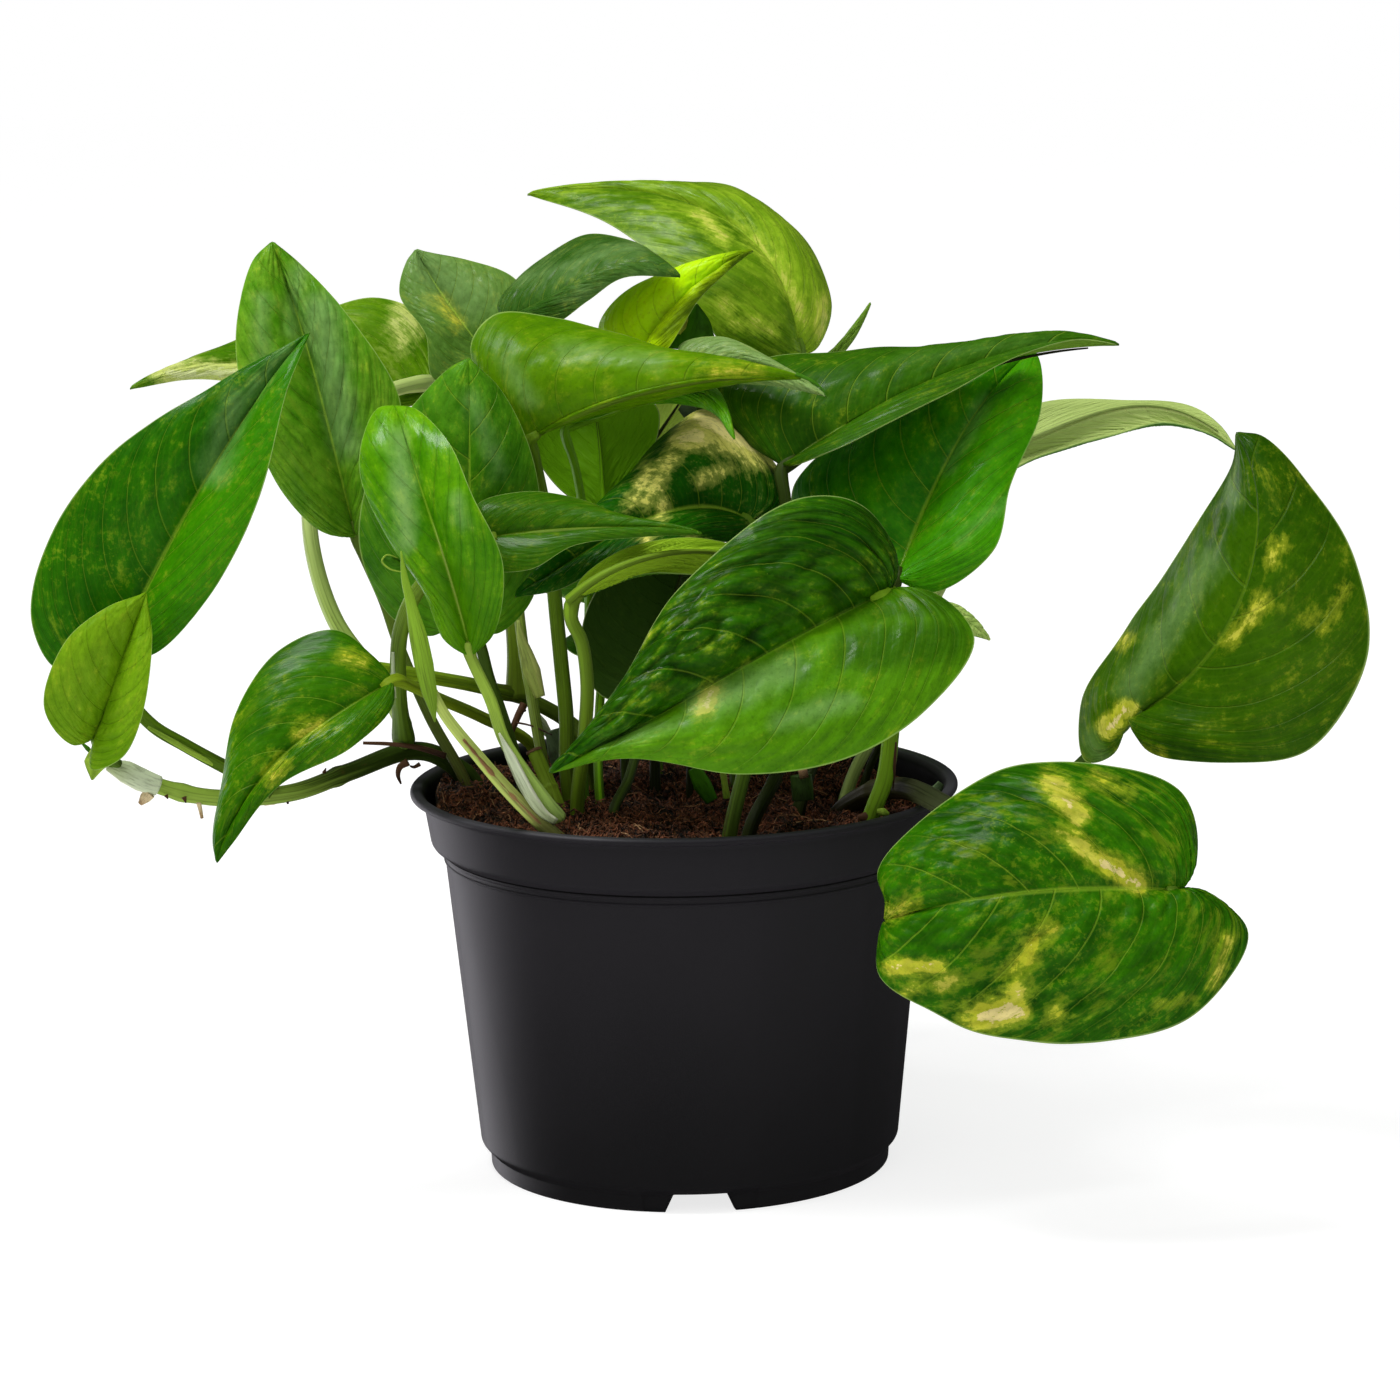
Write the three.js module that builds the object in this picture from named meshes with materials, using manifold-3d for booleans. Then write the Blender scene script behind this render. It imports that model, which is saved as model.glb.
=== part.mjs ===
// A potted pothos: variegated climbing plant in a 12 cm nursery pot.
// Millimetres, +Z up. The origin is the middle of the pot's underside, on the surface it stands on.
// The plant's front faces -Y; x runs to the viewer's right and y away from the viewer.
import * as THREE from 'three';
import { mergeVertices } from 'three/addons/utils/BufferGeometryUtils.js';
import Module from 'manifold-3d';

const wasm = await Module();
wasm.setup();

// ---- driving dimensions ------------------------------------------------------------------
const RIM_RADIUS = 60; // a 12 cm pot, measured over the lip
const POT_HEIGHT = 85;
const WALL = 1.5;
const LIP_WIDTH = 2.6; // the flat top of the rim
const LIP_UNDERSIDE_Z = 82.4;
const COLLAR_TOP_RADIUS = 57; // the collar under the lip
const COLLAR_TOP_Z = 81.6;
const COLLAR_FOOT_RADIUS = 55.7;
const COLLAR_FOOT_Z = 72.5;
const RING_RADIUS = 53.5; // the moulded ring under the collar
const RING_FOOT_Z = 69.1;
const RING_TOP_Z = 70.4;
const BODY_TOP_RADIUS = 52.6;
const BODY_TOP_Z = 68.3;
const BODY_FOOT_RADIUS = 45;
const BODY_FOOT_Z = 7.5;
const FOOT_RADIUS = 43.4;
const FOOT_FLARE = 0.9; // how much wider the foot ring is where the body meets it
const BASE_Z = 4; // underside of the base plate, inside the foot ring
const PAD_RADIUS = 8; // the middle pad that reaches down to the surface
const NOTCH = { top: 11.4, bottom: 15, height: 4, turn: 2.9, count: 3, depth: 10 };
const DRAIN = { radius: 3.5, ring: 27, count: 6, sides: 12 };
const POT_SEGMENTS = 36;

const GAP = 0.3; // between a piece and the one that carries it
const SOIL_Z = 80; // mean height of the soil
const SOIL_HEAP = 1.2; // how far the soil rises and dips
const SOIL_HEAP_LENGTH = [9, 11]; // over what lengths along x and y
const SOIL_RIGHT_DROP = 0.05; // the soil lies lower to the right
const SOIL_RINGS = 4; // rings of facets across the soil's top
const SOIL_CLEARANCE = 0.2; // and the soil keeps this much more from the pot's round wall
const STEM_FOOT_Z = 64; // stems and vines are rooted down to here
const ROOT_PULL = 0.88; // and their roots lie this much nearer the middle

const BLADE_THICKNESS = 0.8;
const BLADE_ROWS = 9; // steps from the leaf's base to its tip
const BLADE_COLUMNS = 2; // steps from the midrib to the margin
const VEIN_SWEEP = 1.5; // veins leave the midrib nearer the base than they meet the margin
const WIDEST_SHARE = 0.05; // steadies the upper face's direction at the blade's two ends
const STALK_REACH = 0.05; // how far a stalk runs into the blade, as a part of the midrib
const STEM_SIDES = 6;
const STEPS_PER_POINT = 1.3; // along a stem, for each point of its route
const WELD = 1e-4; // corners nearer than this are one

const GREEN = {
  deep: 0x2c5a1c, mid: 0x3f7a22, fresh: 0x5d9a2c, pale: 0x8fb25a, stem: 0x7f9a4e, dark: 0x24431c,
};

// ---- solids ------------------------------------------------------------------------------
function solidFrom(geometry) {
  const bare = geometry.clone();
  for (const name of Object.keys(bare.attributes)) if (name !== 'position') bare.deleteAttribute(name);
  const merged = mergeVertices(bare, WELD);
  return new wasm.Manifold(new wasm.Mesh({
    numProp: 3,
    vertProperties: Float32Array.from(merged.attributes.position.array),
    triVerts: Uint32Array.from(merged.index.array),
  }));
}

function geometryFrom(solid) {
  const mesh = solid.getMesh();
  const geometry = new THREE.BufferGeometry();
  geometry.setAttribute('position', new THREE.BufferAttribute(mesh.vertProperties, 3));
  geometry.setIndex(new THREE.BufferAttribute(mesh.triVerts, 1));
  geometry.computeVertexNormals();
  return geometry;
}

// A cut can leave crumbs behind; the piece is the largest part.
function largestPart(solid) {
  return solid.decompose().reduce((a, b) => (a.volume() > b.volume() ? a : b));
}

const point = (p) => new THREE.Vector3(p[0], p[1], p[2]);
const curveThrough = (points) => new THREE.CatmullRomCurve3(points, false, 'centripetal');

function tube(points, radius) {
  const section = new THREE.Shape();
  for (let i = 0; i < STEM_SIDES; i += 1) {
    const angle = (2 * Math.PI * i) / STEM_SIDES;
    if (i === 0) section.moveTo(radius, 0);
    else section.lineTo(radius * Math.cos(angle), radius * Math.sin(angle));
  }
  section.closePath();
  const steps = Math.max(4, Math.round(STEPS_PER_POINT * (points.length - 1)));
  const extrudePath = curveThrough(points);
  return new THREE.ExtrudeGeometry(section, { steps, bevelEnabled: false, extrudePath });
}

// ---- leaf blade --------------------------------------------------------------------------
// The midrib is the cubic through four points a third of its length apart.
function midrib(points, t) {
  const weights = [
    -4.5 * (t - 1 / 3) * (t - 2 / 3) * (t - 1),
    13.5 * t * (t - 2 / 3) * (t - 1),
    -13.5 * t * (t - 1 / 3) * (t - 1),
    4.5 * t * (t - 1 / 3) * (t - 2 / 3),
  ];
  const sum = new THREE.Vector3();
  weights.forEach((weight, i) => sum.addScaledVector(points[i], weight));
  return sum;
}

function midribDirection(points, t) {
  const step = 1e-3;
  return midrib(points, t + step).sub(midrib(points, t - step)).normalize();
}

// Each half of the blade runs from the midrib to its margin along the side veins; puff is how far
// it bulges towards the upper face on the way.
function bladeSheet(leaf) {
  const rib = leaf.rib.map(point);
  const margins = [leaf.left, leaf.right].map((side) => (
    curveThrough([rib[0], ...side.map(point), rib[3]]).getSpacedPoints(BLADE_ROWS)
  ));
  const across = margins[1].map((p, i) => p.clone().sub(margins[0][i]));
  const widest = across.reduce((a, b) => (a.length() > b.length() ? a : b));
  const corners = [];
  for (let row = 0; row <= BLADE_ROWS; row += 1) {
    const t = row / BLADE_ROWS;
    const veinStart = midrib(rib, t ** VEIN_SWEEP);
    const up = across[row].clone().addScaledVector(widest, WIDEST_SHARE)
      .cross(midribDirection(rib, Math.min(t ** VEIN_SWEEP, 0.999))).normalize();
    const line = [];
    for (let column = -BLADE_COLUMNS; column <= BLADE_COLUMNS; column += 1) {
      const side = column < 0 ? 0 : 1;
      const out = Math.abs(column) / BLADE_COLUMNS;
      const bulge = leaf.puff[side] * Math.sqrt(Math.sin(Math.PI * t)) * Math.sin(Math.PI * out);
      line.push(veinStart.clone().lerp(margins[side][row], out).addScaledVector(up, bulge || 0));
    }
    corners.push(line);
  }
  return corners;
}

// The sheet's first and last rows are the single points of base and tip.
function bladeGeometry(leaf) {
  const rows = bladeSheet(leaf);
  const width = 2 * BLADE_COLUMNS + 1;
  const points = [rows[0][0]];
  for (let row = 1; row < BLADE_ROWS; row += 1) points.push(...rows[row]);
  points.push(rows[BLADE_ROWS][0]);
  const last = points.length - 1;
  const at = (row, column) => {
    if (row === 0) return 0;
    return row === BLADE_ROWS ? last : 1 + (row - 1) * width + column;
  };
  const faces = [];
  for (let row = 0; row < BLADE_ROWS; row += 1) {
    for (let column = 0; column < width - 1; column += 1) {
      const a = at(row, column);
      const b = at(row, column + 1);
      const c = at(row + 1, column + 1);
      const d = at(row + 1, column);
      if (a !== b) faces.push([a, b, c]);
      if (c !== d) faces.push([a, c, d]);
    }
  }
  const sheet = new THREE.BufferGeometry().setFromPoints(points);
  sheet.setIndex(faces.flat());
  sheet.computeVertexNormals();
  const normals = sheet.attributes.normal;
  const positions = [];
  for (const side of [0.5, -0.5]) {
    points.forEach((p, i) => {
      const normal = new THREE.Vector3().fromBufferAttribute(normals, i);
      positions.push(...p.clone().addScaledVector(normal, side * BLADE_THICKNESS).toArray());
    });
  }
  const under = points.length;
  const index = faces.flatMap(([a, b, c]) => [a, b, c, under + a, under + c, under + b]);
  const rim = [];
  for (let row = 0; row <= BLADE_ROWS; row += 1) rim.push(at(row, 0));
  for (let row = BLADE_ROWS - 1; row > 0; row -= 1) rim.push(at(row, width - 1));
  rim.forEach((a, i) => {
    const b = rim[(i + 1) % rim.length];
    index.push(a, b, under + b, a, under + b, under + a);
  });
  const geometry = new THREE.BufferGeometry();
  geometry.setAttribute('position', new THREE.Float32BufferAttribute(positions, 3));
  geometry.setIndex(index);
  return geometry;
}

// ---- the plan of the plant ---------------------------------------------------------------
// Points in millimetres. A leaf has its midrib (base, two points a third apart, tip), the points of
// its left and right margins from base to tip as seen on the upper face with the tip up, and the
// route of its stalk, which starts in the soil or on the vine that `from` names.
const LEAVES = {
  leaf_01: {
    rib: [[-119.5, -32, 122], [-107.5, -31, 144], [-93.5, -28, 166.5], [-77, -24, 187.5]],
    left: [[-131.5, -33, 118], [-137, -32, 128.5], [-131.5, -31, 146.5], [-118, -30, 163],
      [-96, -27, 177]],
    right: [[-112, -35, 121], [-98, -40, 135], [-87.5, -40, 154.5], [-81, -32, 177.5]],
    puff: [2, 2],
    stem: [[-90, -26, 90], [-97, -27, 94], [-106, -28, 101], [-113.5, -30, 110], [-119, -33, 121]],
    stemRadius: 1.5,
    from: 'vine_left',
    tint: 'mid',
  },
  leaf_02: {
    rib: [[-123, -42, 105.5], [-119, -44, 115.5], [-115, -44, 126], [-111.5, -41, 135.5]],
    left: [[-127.5, -46, 104.5], [-132.5, -50, 113.5], [-127.5, -50, 127], [-119.5, -46, 133]],
    right: [[-123.5, -48, 99.5], [-116.5, -50, 102.5], [-111.5, -50, 113.5], [-110, -46, 126.5]],
    puff: [2, 1],
    stem: [[-118.5, -34, 96.5], [-120, -37, 98.5], [-121.5, -39, 100.5], [-123, -42, 105]],
    stemRadius: 1.4,
    from: 'vine_left',
    tint: 'fresh',
  },
  leaf_03: {
    rib: [[-61, -38, 115.5], [-75, -46, 108], [-87.5, -51, 98], [-97.5, -52, 80]],
    left: [[-60.5, -42, 111], [-69, -50, 103.5], [-83.5, -53, 96.5], [-93.5, -53, 85]],
    right: [[-63, -37, 118.5], [-72.5, -36, 126], [-84.5, -37, 122], [-94, -43, 109.5], [-98, -50, 91]],
    puff: [2, 2],
    stem: [[-31, 10, 85.5], [-34, 8, 92.5], [-44, 0, 100], [-51.5, -14, 106.5], [-57.5, -31, 113],
      [-60.5, -38, 115.5]],
    stemRadius: 1.4,
    tint: 'mid',
  },
  leaf_04: {
    rib: [[-71, 8, 139.5], [-75.5, 6, 161], [-80.5, 8, 181.5], [-87, 12, 203.5]],
    left: [[-78, 4, 141], [-86, 0, 150], [-92, 0, 164], [-95.5, 4, 181], [-92, 10, 197]],
    right: [[-68.5, 5, 145.5], [-62, 0, 157], [-60, 0, 170], [-71.5, 4, 189], [-81.5, 10, 199]],
    puff: [3, 3],
    stem: [[-48, 2, 85], [-55.5, 3, 99.5], [-63, 6, 116], [-66, 8, 125], [-71, 8, 139]],
    stemRadius: 1.3,
    tint: 'mid',
  },
  leaf_05: {
    rib: [[-56, 50, 167.5], [-77.5, 48, 170], [-101, 42, 173.5], [-122.5, 34, 169.5]],
    left: [[-57.5, 46, 164], [-74, 40, 164.5], [-107, 38, 171]],
    right: [[-55, 58, 174.5], [-60, 62, 183], [-69, 62, 186.5], [-86, 58, 182.5], [-109.5, 44, 175.5]],
    puff: [2, 2],
    stem: [[-62.5, 2, 94.5], [-68, 3, 106], [-74, 7, 121], [-81, 18, 139.5], [-80.5, 32, 155.5],
      [-70, 36, 165.5], [-62.5, 42, 168], [-56.5, 49, 168]],
    stemRadius: 1.9,
    from: 'vine_left',
    tint: 'fresh',
  },
  leaf_06: {
    rib: [[-40.5, 34, 172], [-46.5, 38, 180.5], [-53, 42, 189.5], [-58.5, 46, 198.5]],
    left: [[-46.5, 32, 168], [-54.5, 32, 171], [-56, 34, 180.5], [-62, 40, 189], [-60.5, 44, 194.5]],
    right: [[-34, 38, 174], [-32, 40, 185], [-36, 42, 191.5], [-47, 45, 196]],
    puff: [2, 2],
    stem: [[-36.5, 12, 101.5], [-37, 16, 114.5], [-38.5, 24, 131], [-40, 31, 150.5], [-40.5, 34, 171]],
    stemRadius: 2,
    from: 'vine_mid',
    tint: 'mid',
  },
  leaf_07: {
    rib: [[-37.5, 18, 185.5], [-25, 12, 192], [-12, 10, 197], [1, 8, 195]],
    left: [[-39, 22, 188.5], [-35.5, 26, 193], [-29, 30, 197.5], [-19, 30, 203], [-7.5, 22, 201.5]],
    right: [[-32, 12, 185.5], [-20, 8, 190.5], [-11.5, 7, 195]],
    puff: [2, 2],
    stem: [[-30.5, -4, 89], [-33, 2, 103.5], [-35, 6, 116], [-36.5, 10, 133], [-37, 12, 153],
      [-37, 15, 172.5], [-37.5, 18, 185.5]],
    stemRadius: 1.3,
    tint: 'deep',
  },
  leaf_08: {
    rib: [[27.5, 34, 175], [21.5, 38, 195], [3.5, 50, 207.5], [-33.5, 58, 210]],
    left: [[19.5, 28, 171.5], [10, 24, 178.5], [4, 26, 188], [-3, 34, 197.5], [-16, 46, 205]],
    right: [[31.5, 42, 176], [35, 50, 185.5], [27, 56, 200.5], [13.5, 62, 210.5], [-9.5, 62, 212]],
    puff: [4, 4],
    stem: [[11.5, 8, 81], [11.5, 16, 95.5], [13, 24, 112], [15.5, 31, 133.5], [19.5, 35, 151],
      [24.5, 35, 164.5], [27.5, 34, 174]],
    stemRadius: 1.5,
    tint: 'fresh',
  },
  leaf_09: {
    rib: [[-8, 14, 178], [-2, 14, 186], [6.5, 15, 193.5], [17, 18, 199.5]],
    left: [[-16, 20, 179], [-17, 22, 183.5], [-10, 22, 191], [0.5, 19, 196.5], [9.5, 18, 199]],
    right: [[-2.5, 8, 179], [1, 8, 184], [5, 10, 190], [11, 14, 195]],
    puff: [2, 2],
    stem: [[-6.5, 14, 87], [-4, 24, 103], [0, 34, 124], [1, 40, 146], [-1.5, 40, 162], [-6, 27, 172.5],
      [-8, 15, 177.5]],
    stemRadius: 1.3,
    tint: 'fresh',
  },
  leaf_10: {
    rib: [[-32.5, -8, 162], [-14, -14, 171], [6, -16, 175.5], [26.5, -14, 175]],
    left: [[-40, -4, 169], [-44.5, -2, 182], [-39, 2, 188.5], [-25, 4, 187], [-5.5, -2, 181.5],
      [13.5, -10, 178.5]],
    right: [[-25.5, -6, 164.5], [-8, -8, 169], [11.5, -11, 173.5]],
    puff: [4, 1],
    stem: [[-25.5, -2, 87], [-25.5, 1, 99], [-26.5, 4, 111.5], [-27.5, 6, 123.5], [-28.5, 5, 138.5],
      [-30, 1, 149.5], [-31.5, -5, 159], [-32, -8, 162]],
    stemRadius: 1.7,
    tint: 'fresh',
  },
  leaf_11: {
    rib: [[3, 5, 172], [12.5, 2, 177], [22, -2, 175.5], [32, -5, 170]],
    left: [[0.5, 9, 180], [9.5, 8, 182], [19.5, 2, 178], [26.5, -2, 174]],
    right: [[9.5, 2, 172.5], [22, -3, 172]],
    puff: [1, 1],
    stem: [[1.5, 10, 86.5], [4, 22, 108], [7, 30, 129.5], [7.5, 34, 149], [5, 24, 163.5], [3, 7, 171]],
    stemRadius: 1,
    tint: 'pale',
  },
  leaf_12: {
    rib: [[-24.5, 2, 164], [-10.5, 2, 168.5], [4, -6, 171.5], [12, -20, 163]],
    left: [[-17, 9, 170], [-1.5, 6, 173.5], [7.5, -3, 172.5], [11, -14, 168.5]],
    right: [[-19, 1, 165], [-4, 0, 169], [7, -11, 168]],
    puff: [1, 1],
    stem: [[-22, 0, 83], [-21.5, 12, 101], [-20.5, 14, 119], [-20.5, 12, 137], [-22.5, 7, 153.5],
      [-24.5, 2, 163.5]],
    stemRadius: 1.1,
    tint: 'deep',
  },
  leaf_13: {
    rib: [[15.5, -4, 143], [0, -8, 146.5], [-17, -19, 141], [-35, -27, 131]],
    left: [[12, -8, 139.5], [1, -18, 141.5], [-15, -24, 137.5], [-25.5, -27, 132.5]],
    right: [[24, 4, 145.5], [22, 10, 153], [11.5, 12, 163.5], [5, 12, 166], [-4, 8, 160],
      [-17, -4, 148], [-27.5, -20, 138]],
    puff: [2, 5],
    stem: [[9.5, -40, 81], [14.5, -32, 100.5], [16.5, -20, 115.5], [16.5, -10, 131], [15.5, -4, 142.5]],
    stemRadius: 1.6,
    tint: 'dark',
  },
  leaf_14: {
    rib: [[22.5, 0, 154.5], [44, 2, 166.5], [68, 6, 175.5], [96.5, 10, 178.5]],
    left: [[14.5, 6, 159.5], [8, 12, 170], [18, 16, 175.5], [38.5, 16, 177.5], [64.5, 14, 179],
      [85, 12, 181]],
    right: [[26, -6, 154.5], [37, -8, 158.5], [56.5, -4, 168.5], [74.5, 3, 176.5]],
    puff: [3, 1],
    stem: [[14, -34, 81], [21, -24, 94], [22.5, -14, 114], [23.5, -8, 133], [23, -4, 147.5],
      [22.5, 0, 154]],
    stemRadius: 1.5,
    tint: 'mid',
  },
  leaf_15: {
    rib: [[46.5, -5, 130], [54.5, 4, 146], [64.5, 12, 162.5], [79, 22, 176.5]],
    left: [[39.5, 4, 129.5], [26.5, 14, 138], [25, 18, 147.5], [38.5, 20, 159.5], [56, 22, 169],
      [68, 22, 174]],
    right: [[55, -6, 127.5], [67, -6, 136], [71, 0, 149], [79, 8, 163.5], [80, 18, 173]],
    puff: [3, 3],
    stem: [[25, -12, 81], [28.5, -6, 90.5], [36.5, 0, 104.5], [43.5, 0, 120], [46.5, -5, 129]],
    stemRadius: 1.5,
    tint: 'deep',
  },
  leaf_16: {
    rib: [[69, 40, 150.5], [87, 38, 157], [105.5, 34, 161.5], [124.5, 28, 152.5]],
    left: [[70, 36, 145.5], [82, 36, 150.5], [96, 34, 155.5], [108.5, 31, 158], [119, 29, 156]],
    right: [[73, 46, 158], [83.5, 46, 162], [100.5, 42, 162.5], [115, 36, 160.5], [121, 31, 156.5]],
    puff: [2, 2],
    stem: [[37, 8, 83], [44, 15, 95], [50, 24, 109], [58, 31, 121.5], [65.5, 36, 136.5], [69, 40, 150]],
    stemRadius: 1.4,
    tint: 'pale',
  },
  leaf_17: {
    rib: [[97, -10, 100], [113.5, -20, 116], [122.5, -22, 139], [120, -10, 160.5]],
    left: [[93.5, -8, 91], [88, -4, 89], [87.5, 0, 101.5], [98, 2, 117], [110, -2, 137],
      [118.5, -6, 154]],
    right: [[101, -16, 94], [117, -26, 92.5], [133.5, -28, 95.5], [146, -26, 115], [144, -22, 135],
      [135, -16, 151.5]],
    puff: [2, 4],
    stem: [[67, -32, 79.5], [70.5, -22, 80.5], [77.5, -10, 81.5], [87, 2, 86.5], [92, 3, 91],
      [96, -3, 96], [97, -9, 99]],
    stemRadius: 1.5,
    from: 'vine_right',
    tint: 'mid',
  },
  leaf_18: {
    rib: [[101.5, -70, 75], [81.5, -76, 77], [61, -76, 75.5], [41.5, -64, 68]],
    left: [[109, -70, 74], [115, -72, 66], [106, -76, 50.5], [87.5, -78, 46.5], [60.5, -76, 47.5],
      [40, -68, 57.5], [40, -65, 64.5]],
    right: [[105.5, -68, 83], [101.5, -62, 94], [86.5, -58, 99], [66.5, -58, 98.5], [49, -62, 89],
      [40, -64, 78.5], [41.5, -64, 72.5]],
    puff: [3, 3],
    stem: [[67.5, -32, 80.5], [79.5, -42, 82], [93, -52, 79.5], [100.5, -63, 75.5], [101.5, -69, 75]],
    stemRadius: 1.5,
    from: 'vine_right',
    tint: 'mid',
  },
  leaf_19: {
    rib: [[43.5, -38, 132.5], [19.5, -50, 123], [-3.5, -60, 112], [-27.5, -62, 100]],
    left: [[51.5, -40, 133], [60.5, -48, 124.5], [49, -56, 110.5], [33.5, -60, 101.5], [12, -64, 99.5],
      [-12, -64, 103.5]],
    right: [[45.5, -36, 140], [38.5, -36, 150.5], [26.5, -38, 153], [12, -44, 146.5],
      [-1.5, -52, 134.5], [-15.5, -60, 114]],
    puff: [3, 4],
    stem: [[40, -33, 83.5], [43, -31, 91], [44.5, -28, 100], [45.5, -30, 116.5], [44.5, -35, 128.5],
      [44, -38, 132]],
    stemRadius: 2.1,
    tint: 'mid',
  },
  leaf_20: {
    rib: [[-44, -40, 121], [-48.5, -44, 140], [-53.5, -42, 157], [-59, -30, 172.5]],
    left: [[-49.5, -42, 124.5], [-53, -43, 134.5], [-59.5, -42, 144], [-66, -38, 158],
      [-66, -36, 165.5], [-62.5, -30, 172]],
    right: [[-39, -44, 126], [-36.5, -48, 141.5], [-42.5, -48, 156], [-47, -42, 165.5],
      [-55, -32, 172]],
    puff: [2, 2],
    stem: [[-26.5, -44, 86.5], [-29, -46, 91], [-37, -46, 103.5], [-40, -43, 112], [-44, -40, 120.5]],
    stemRadius: 1.4,
    from: 'shoot_front',
    tint: 'fresh',
  },
  leaf_21: {
    rib: [[-46, -20, 126], [-44.5, -25, 145.5], [-44, -23, 163], [-44, -18, 181]],
    left: [[-54, -18, 121.5], [-63.5, -14, 126.5], [-68.5, -14, 140.5], [-65.5, -16, 157],
      [-55.5, -18, 171.5], [-48, -18, 179]],
    right: [[-40, -19, 121.5], [-32, -16, 128.5], [-29.5, -15, 143.5], [-31.5, -17, 161.5],
      [-37.5, -17, 174]],
    puff: [2, 2],
    stem: [[-36, -6, 89.5], [-39.5, -10, 103.5], [-41.5, -14, 111], [-43.5, -18, 120.5],
      [-46, -20, 125.5]],
    stemRadius: 1.4,
    tint: 'deep',
  },
  leaf_22: {
    rib: [[-40.5, -31, 144.5], [-25, -33, 146.5], [-9, -35, 147], [5, -38, 145.5]],
    left: [[-42.5, -29, 151], [-33.5, -27, 153.5], [-21, -26, 152], [-7, -31, 147]],
    right: [[-40, -34, 138.5], [-31.5, -37, 138.5], [-22, -37, 143.5], [-8, -37, 145]],
    puff: [2, 1],
    stem: [[-61, -4, 96], [-61, -16, 109.5], [-59.5, -25, 124], [-55.5, -29, 133], [-48.5, -31, 139.5],
      [-41, -31, 144]],
    stemRadius: 1.8,
    from: 'vine_left',
    tint: 'mid',
  },
  leaf_23: {
    rib: [[-22.5, -36, 131.5], [-8.5, -36, 139.5], [8.5, -28, 139.5], [25.5, -18, 130]],
    left: [[-19, -36, 133], [-5, -34, 137], [10.5, -27, 135]],
    right: [[-21, -33, 135.5], [-11.5, -30, 141.5], [2.5, -26, 143], [17, -20, 138]],
    puff: [1, 2],
    stem: [[-23, -20, 82], [-21, -28, 100], [-20, -34, 114], [-21, -36, 123], [-23, -37, 128],
      [-22.5, -36, 131.5]],
    stemRadius: 1.6,
    tint: 'pale',
  },
  leaf_24: {
    rib: [[-6, 2, 109], [-3, 0, 121], [0, 4, 130], [2, 10, 139]],
    left: [[4, 4, 104.5], [13, 8, 112.5], [12, 10, 125.5]],
    right: [[-15.5, 2, 103], [-20.5, 4, 107], [-21.5, 6, 120], [-13, 8, 133]],
    puff: [2, 2],
    stem: [[-15.5, -20, 81.5], [-12, -12, 88], [-9.5, -4, 95], [-7, 1, 103], [-6, 2, 108.5]],
    stemRadius: 1.2,
    tint: 'dark',
  },
  leaf_25: {
    rib: [[-16.5, 14, 142.5], [-17, 16, 150], [-17.5, 18, 158.5], [-19, 22, 167.5]],
    left: [[-11, 15, 146], [-5, 19, 157], [-5, 22, 165.5]],
    right: [[-23.5, 14, 145.5], [-29, 16, 151], [-32.5, 18, 158.5], [-28.5, 21, 165]],
    puff: [2, 2],
    stem: [[-18.5, -4, 83], [-18.5, 6, 98], [-17, 14, 114.5], [-16, 16, 132], [-16.5, 14, 142]],
    stemRadius: 1.1,
    tint: 'dark',
  },
  leaf_26: {
    rib: [[-14, 27, 143], [-9, 27, 151], [-3.5, 29, 159], [2.5, 31, 167.5]],
    left: [[-5.5, 25, 148], [3, 28, 159]],
    right: [[-14, 31, 151], [-8.5, 33, 162]],
    puff: [1, 1],
    stem: [[-13, 8, 86], [-12.5, 22, 110.5], [-13, 26, 130.5], [-14, 27, 143]],
    stemRadius: 1.1,
    tint: 'pale',
  },
  leaf_27: {
    rib: [[53.5, -14, 124.5], [58, -14, 123], [62.5, -13, 120.5], [66.5, -12, 117.5]],
    left: [[58, -12, 125.5], [63, -12, 122.5]],
    right: [[56.5, -16, 120.5], [62, -14, 119]],
    puff: [1, 1],
    stem: [[40.5, 6, 84.5], [45.5, -4, 98.5], [50.5, -12, 115.5], [53.5, -14, 124.5]],
    stemRadius: 0.9,
    tint: 'mid',
  },
  leaf_28: {
    rib: [[22, 62, 162.5], [29, 64, 167.5], [38, 66, 174], [44.5, 68, 182.5]],
    left: [[26, 64, 170], [38.5, 67, 176.5]],
    right: [[31.5, 64, 164.5], [41, 67, 174]],
    puff: [1, 1],
    stem: [[11.5, 30, 81], [11.5, 46, 108], [13, 54, 128], [16.5, 60, 150], [22, 62, 162]],
    stemRadius: 1.1,
    tint: 'mid',
  },
  // Leaves at the back of the plant, which the front view doesn't reach.
  leaf_29: {
    rib: [[28, 50, 118], [32, 68, 126], [38, 88, 128], [44, 108, 120]],
    left: [[20, 50, 121], [11, 60, 126], [14, 80, 130], [28, 98, 126]],
    right: [[37, 46, 118], [50, 54, 122], [54, 74, 126], [50, 94, 124]],
    puff: [2, 2],
    stem: [[21, 20, 84], [23, 32, 98], [27, 45, 113]],
    stemRadius: 1.4,
    tint: 'mid',
  },
  leaf_30: {
    rib: [[-12, 48, 116], [-18, 64, 123], [-26, 82, 124], [-34, 98, 117]],
    left: [[-20, 44, 117], [-34, 52, 120], [-38, 70, 122], [-38, 86, 120]],
    right: [[-4, 48, 119], [2, 60, 124], [-4, 78, 126], [-20, 92, 122]],
    puff: [2, 2],
    stem: [[-6, 26, 84], [-8, 34, 98], [-11, 45, 113]],
    stemRadius: 1.3,
    tint: 'mid',
  },
  leaf_31: {
    rib: [[30, 88, 66], [37, 93, 52], [43, 96, 36], [47, 94, 20]],
    left: [[36, 84, 70], [49, 84, 64], [54, 88, 48], [52, 92, 32]],
    right: [[23, 90, 68], [17, 92, 56], [22, 96, 38], [36, 97, 26]],
    puff: [2, 2],
    stem: [[15.5, 79, 70], [22, 84, 72], [28.5, 87.5, 67.5]],
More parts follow.
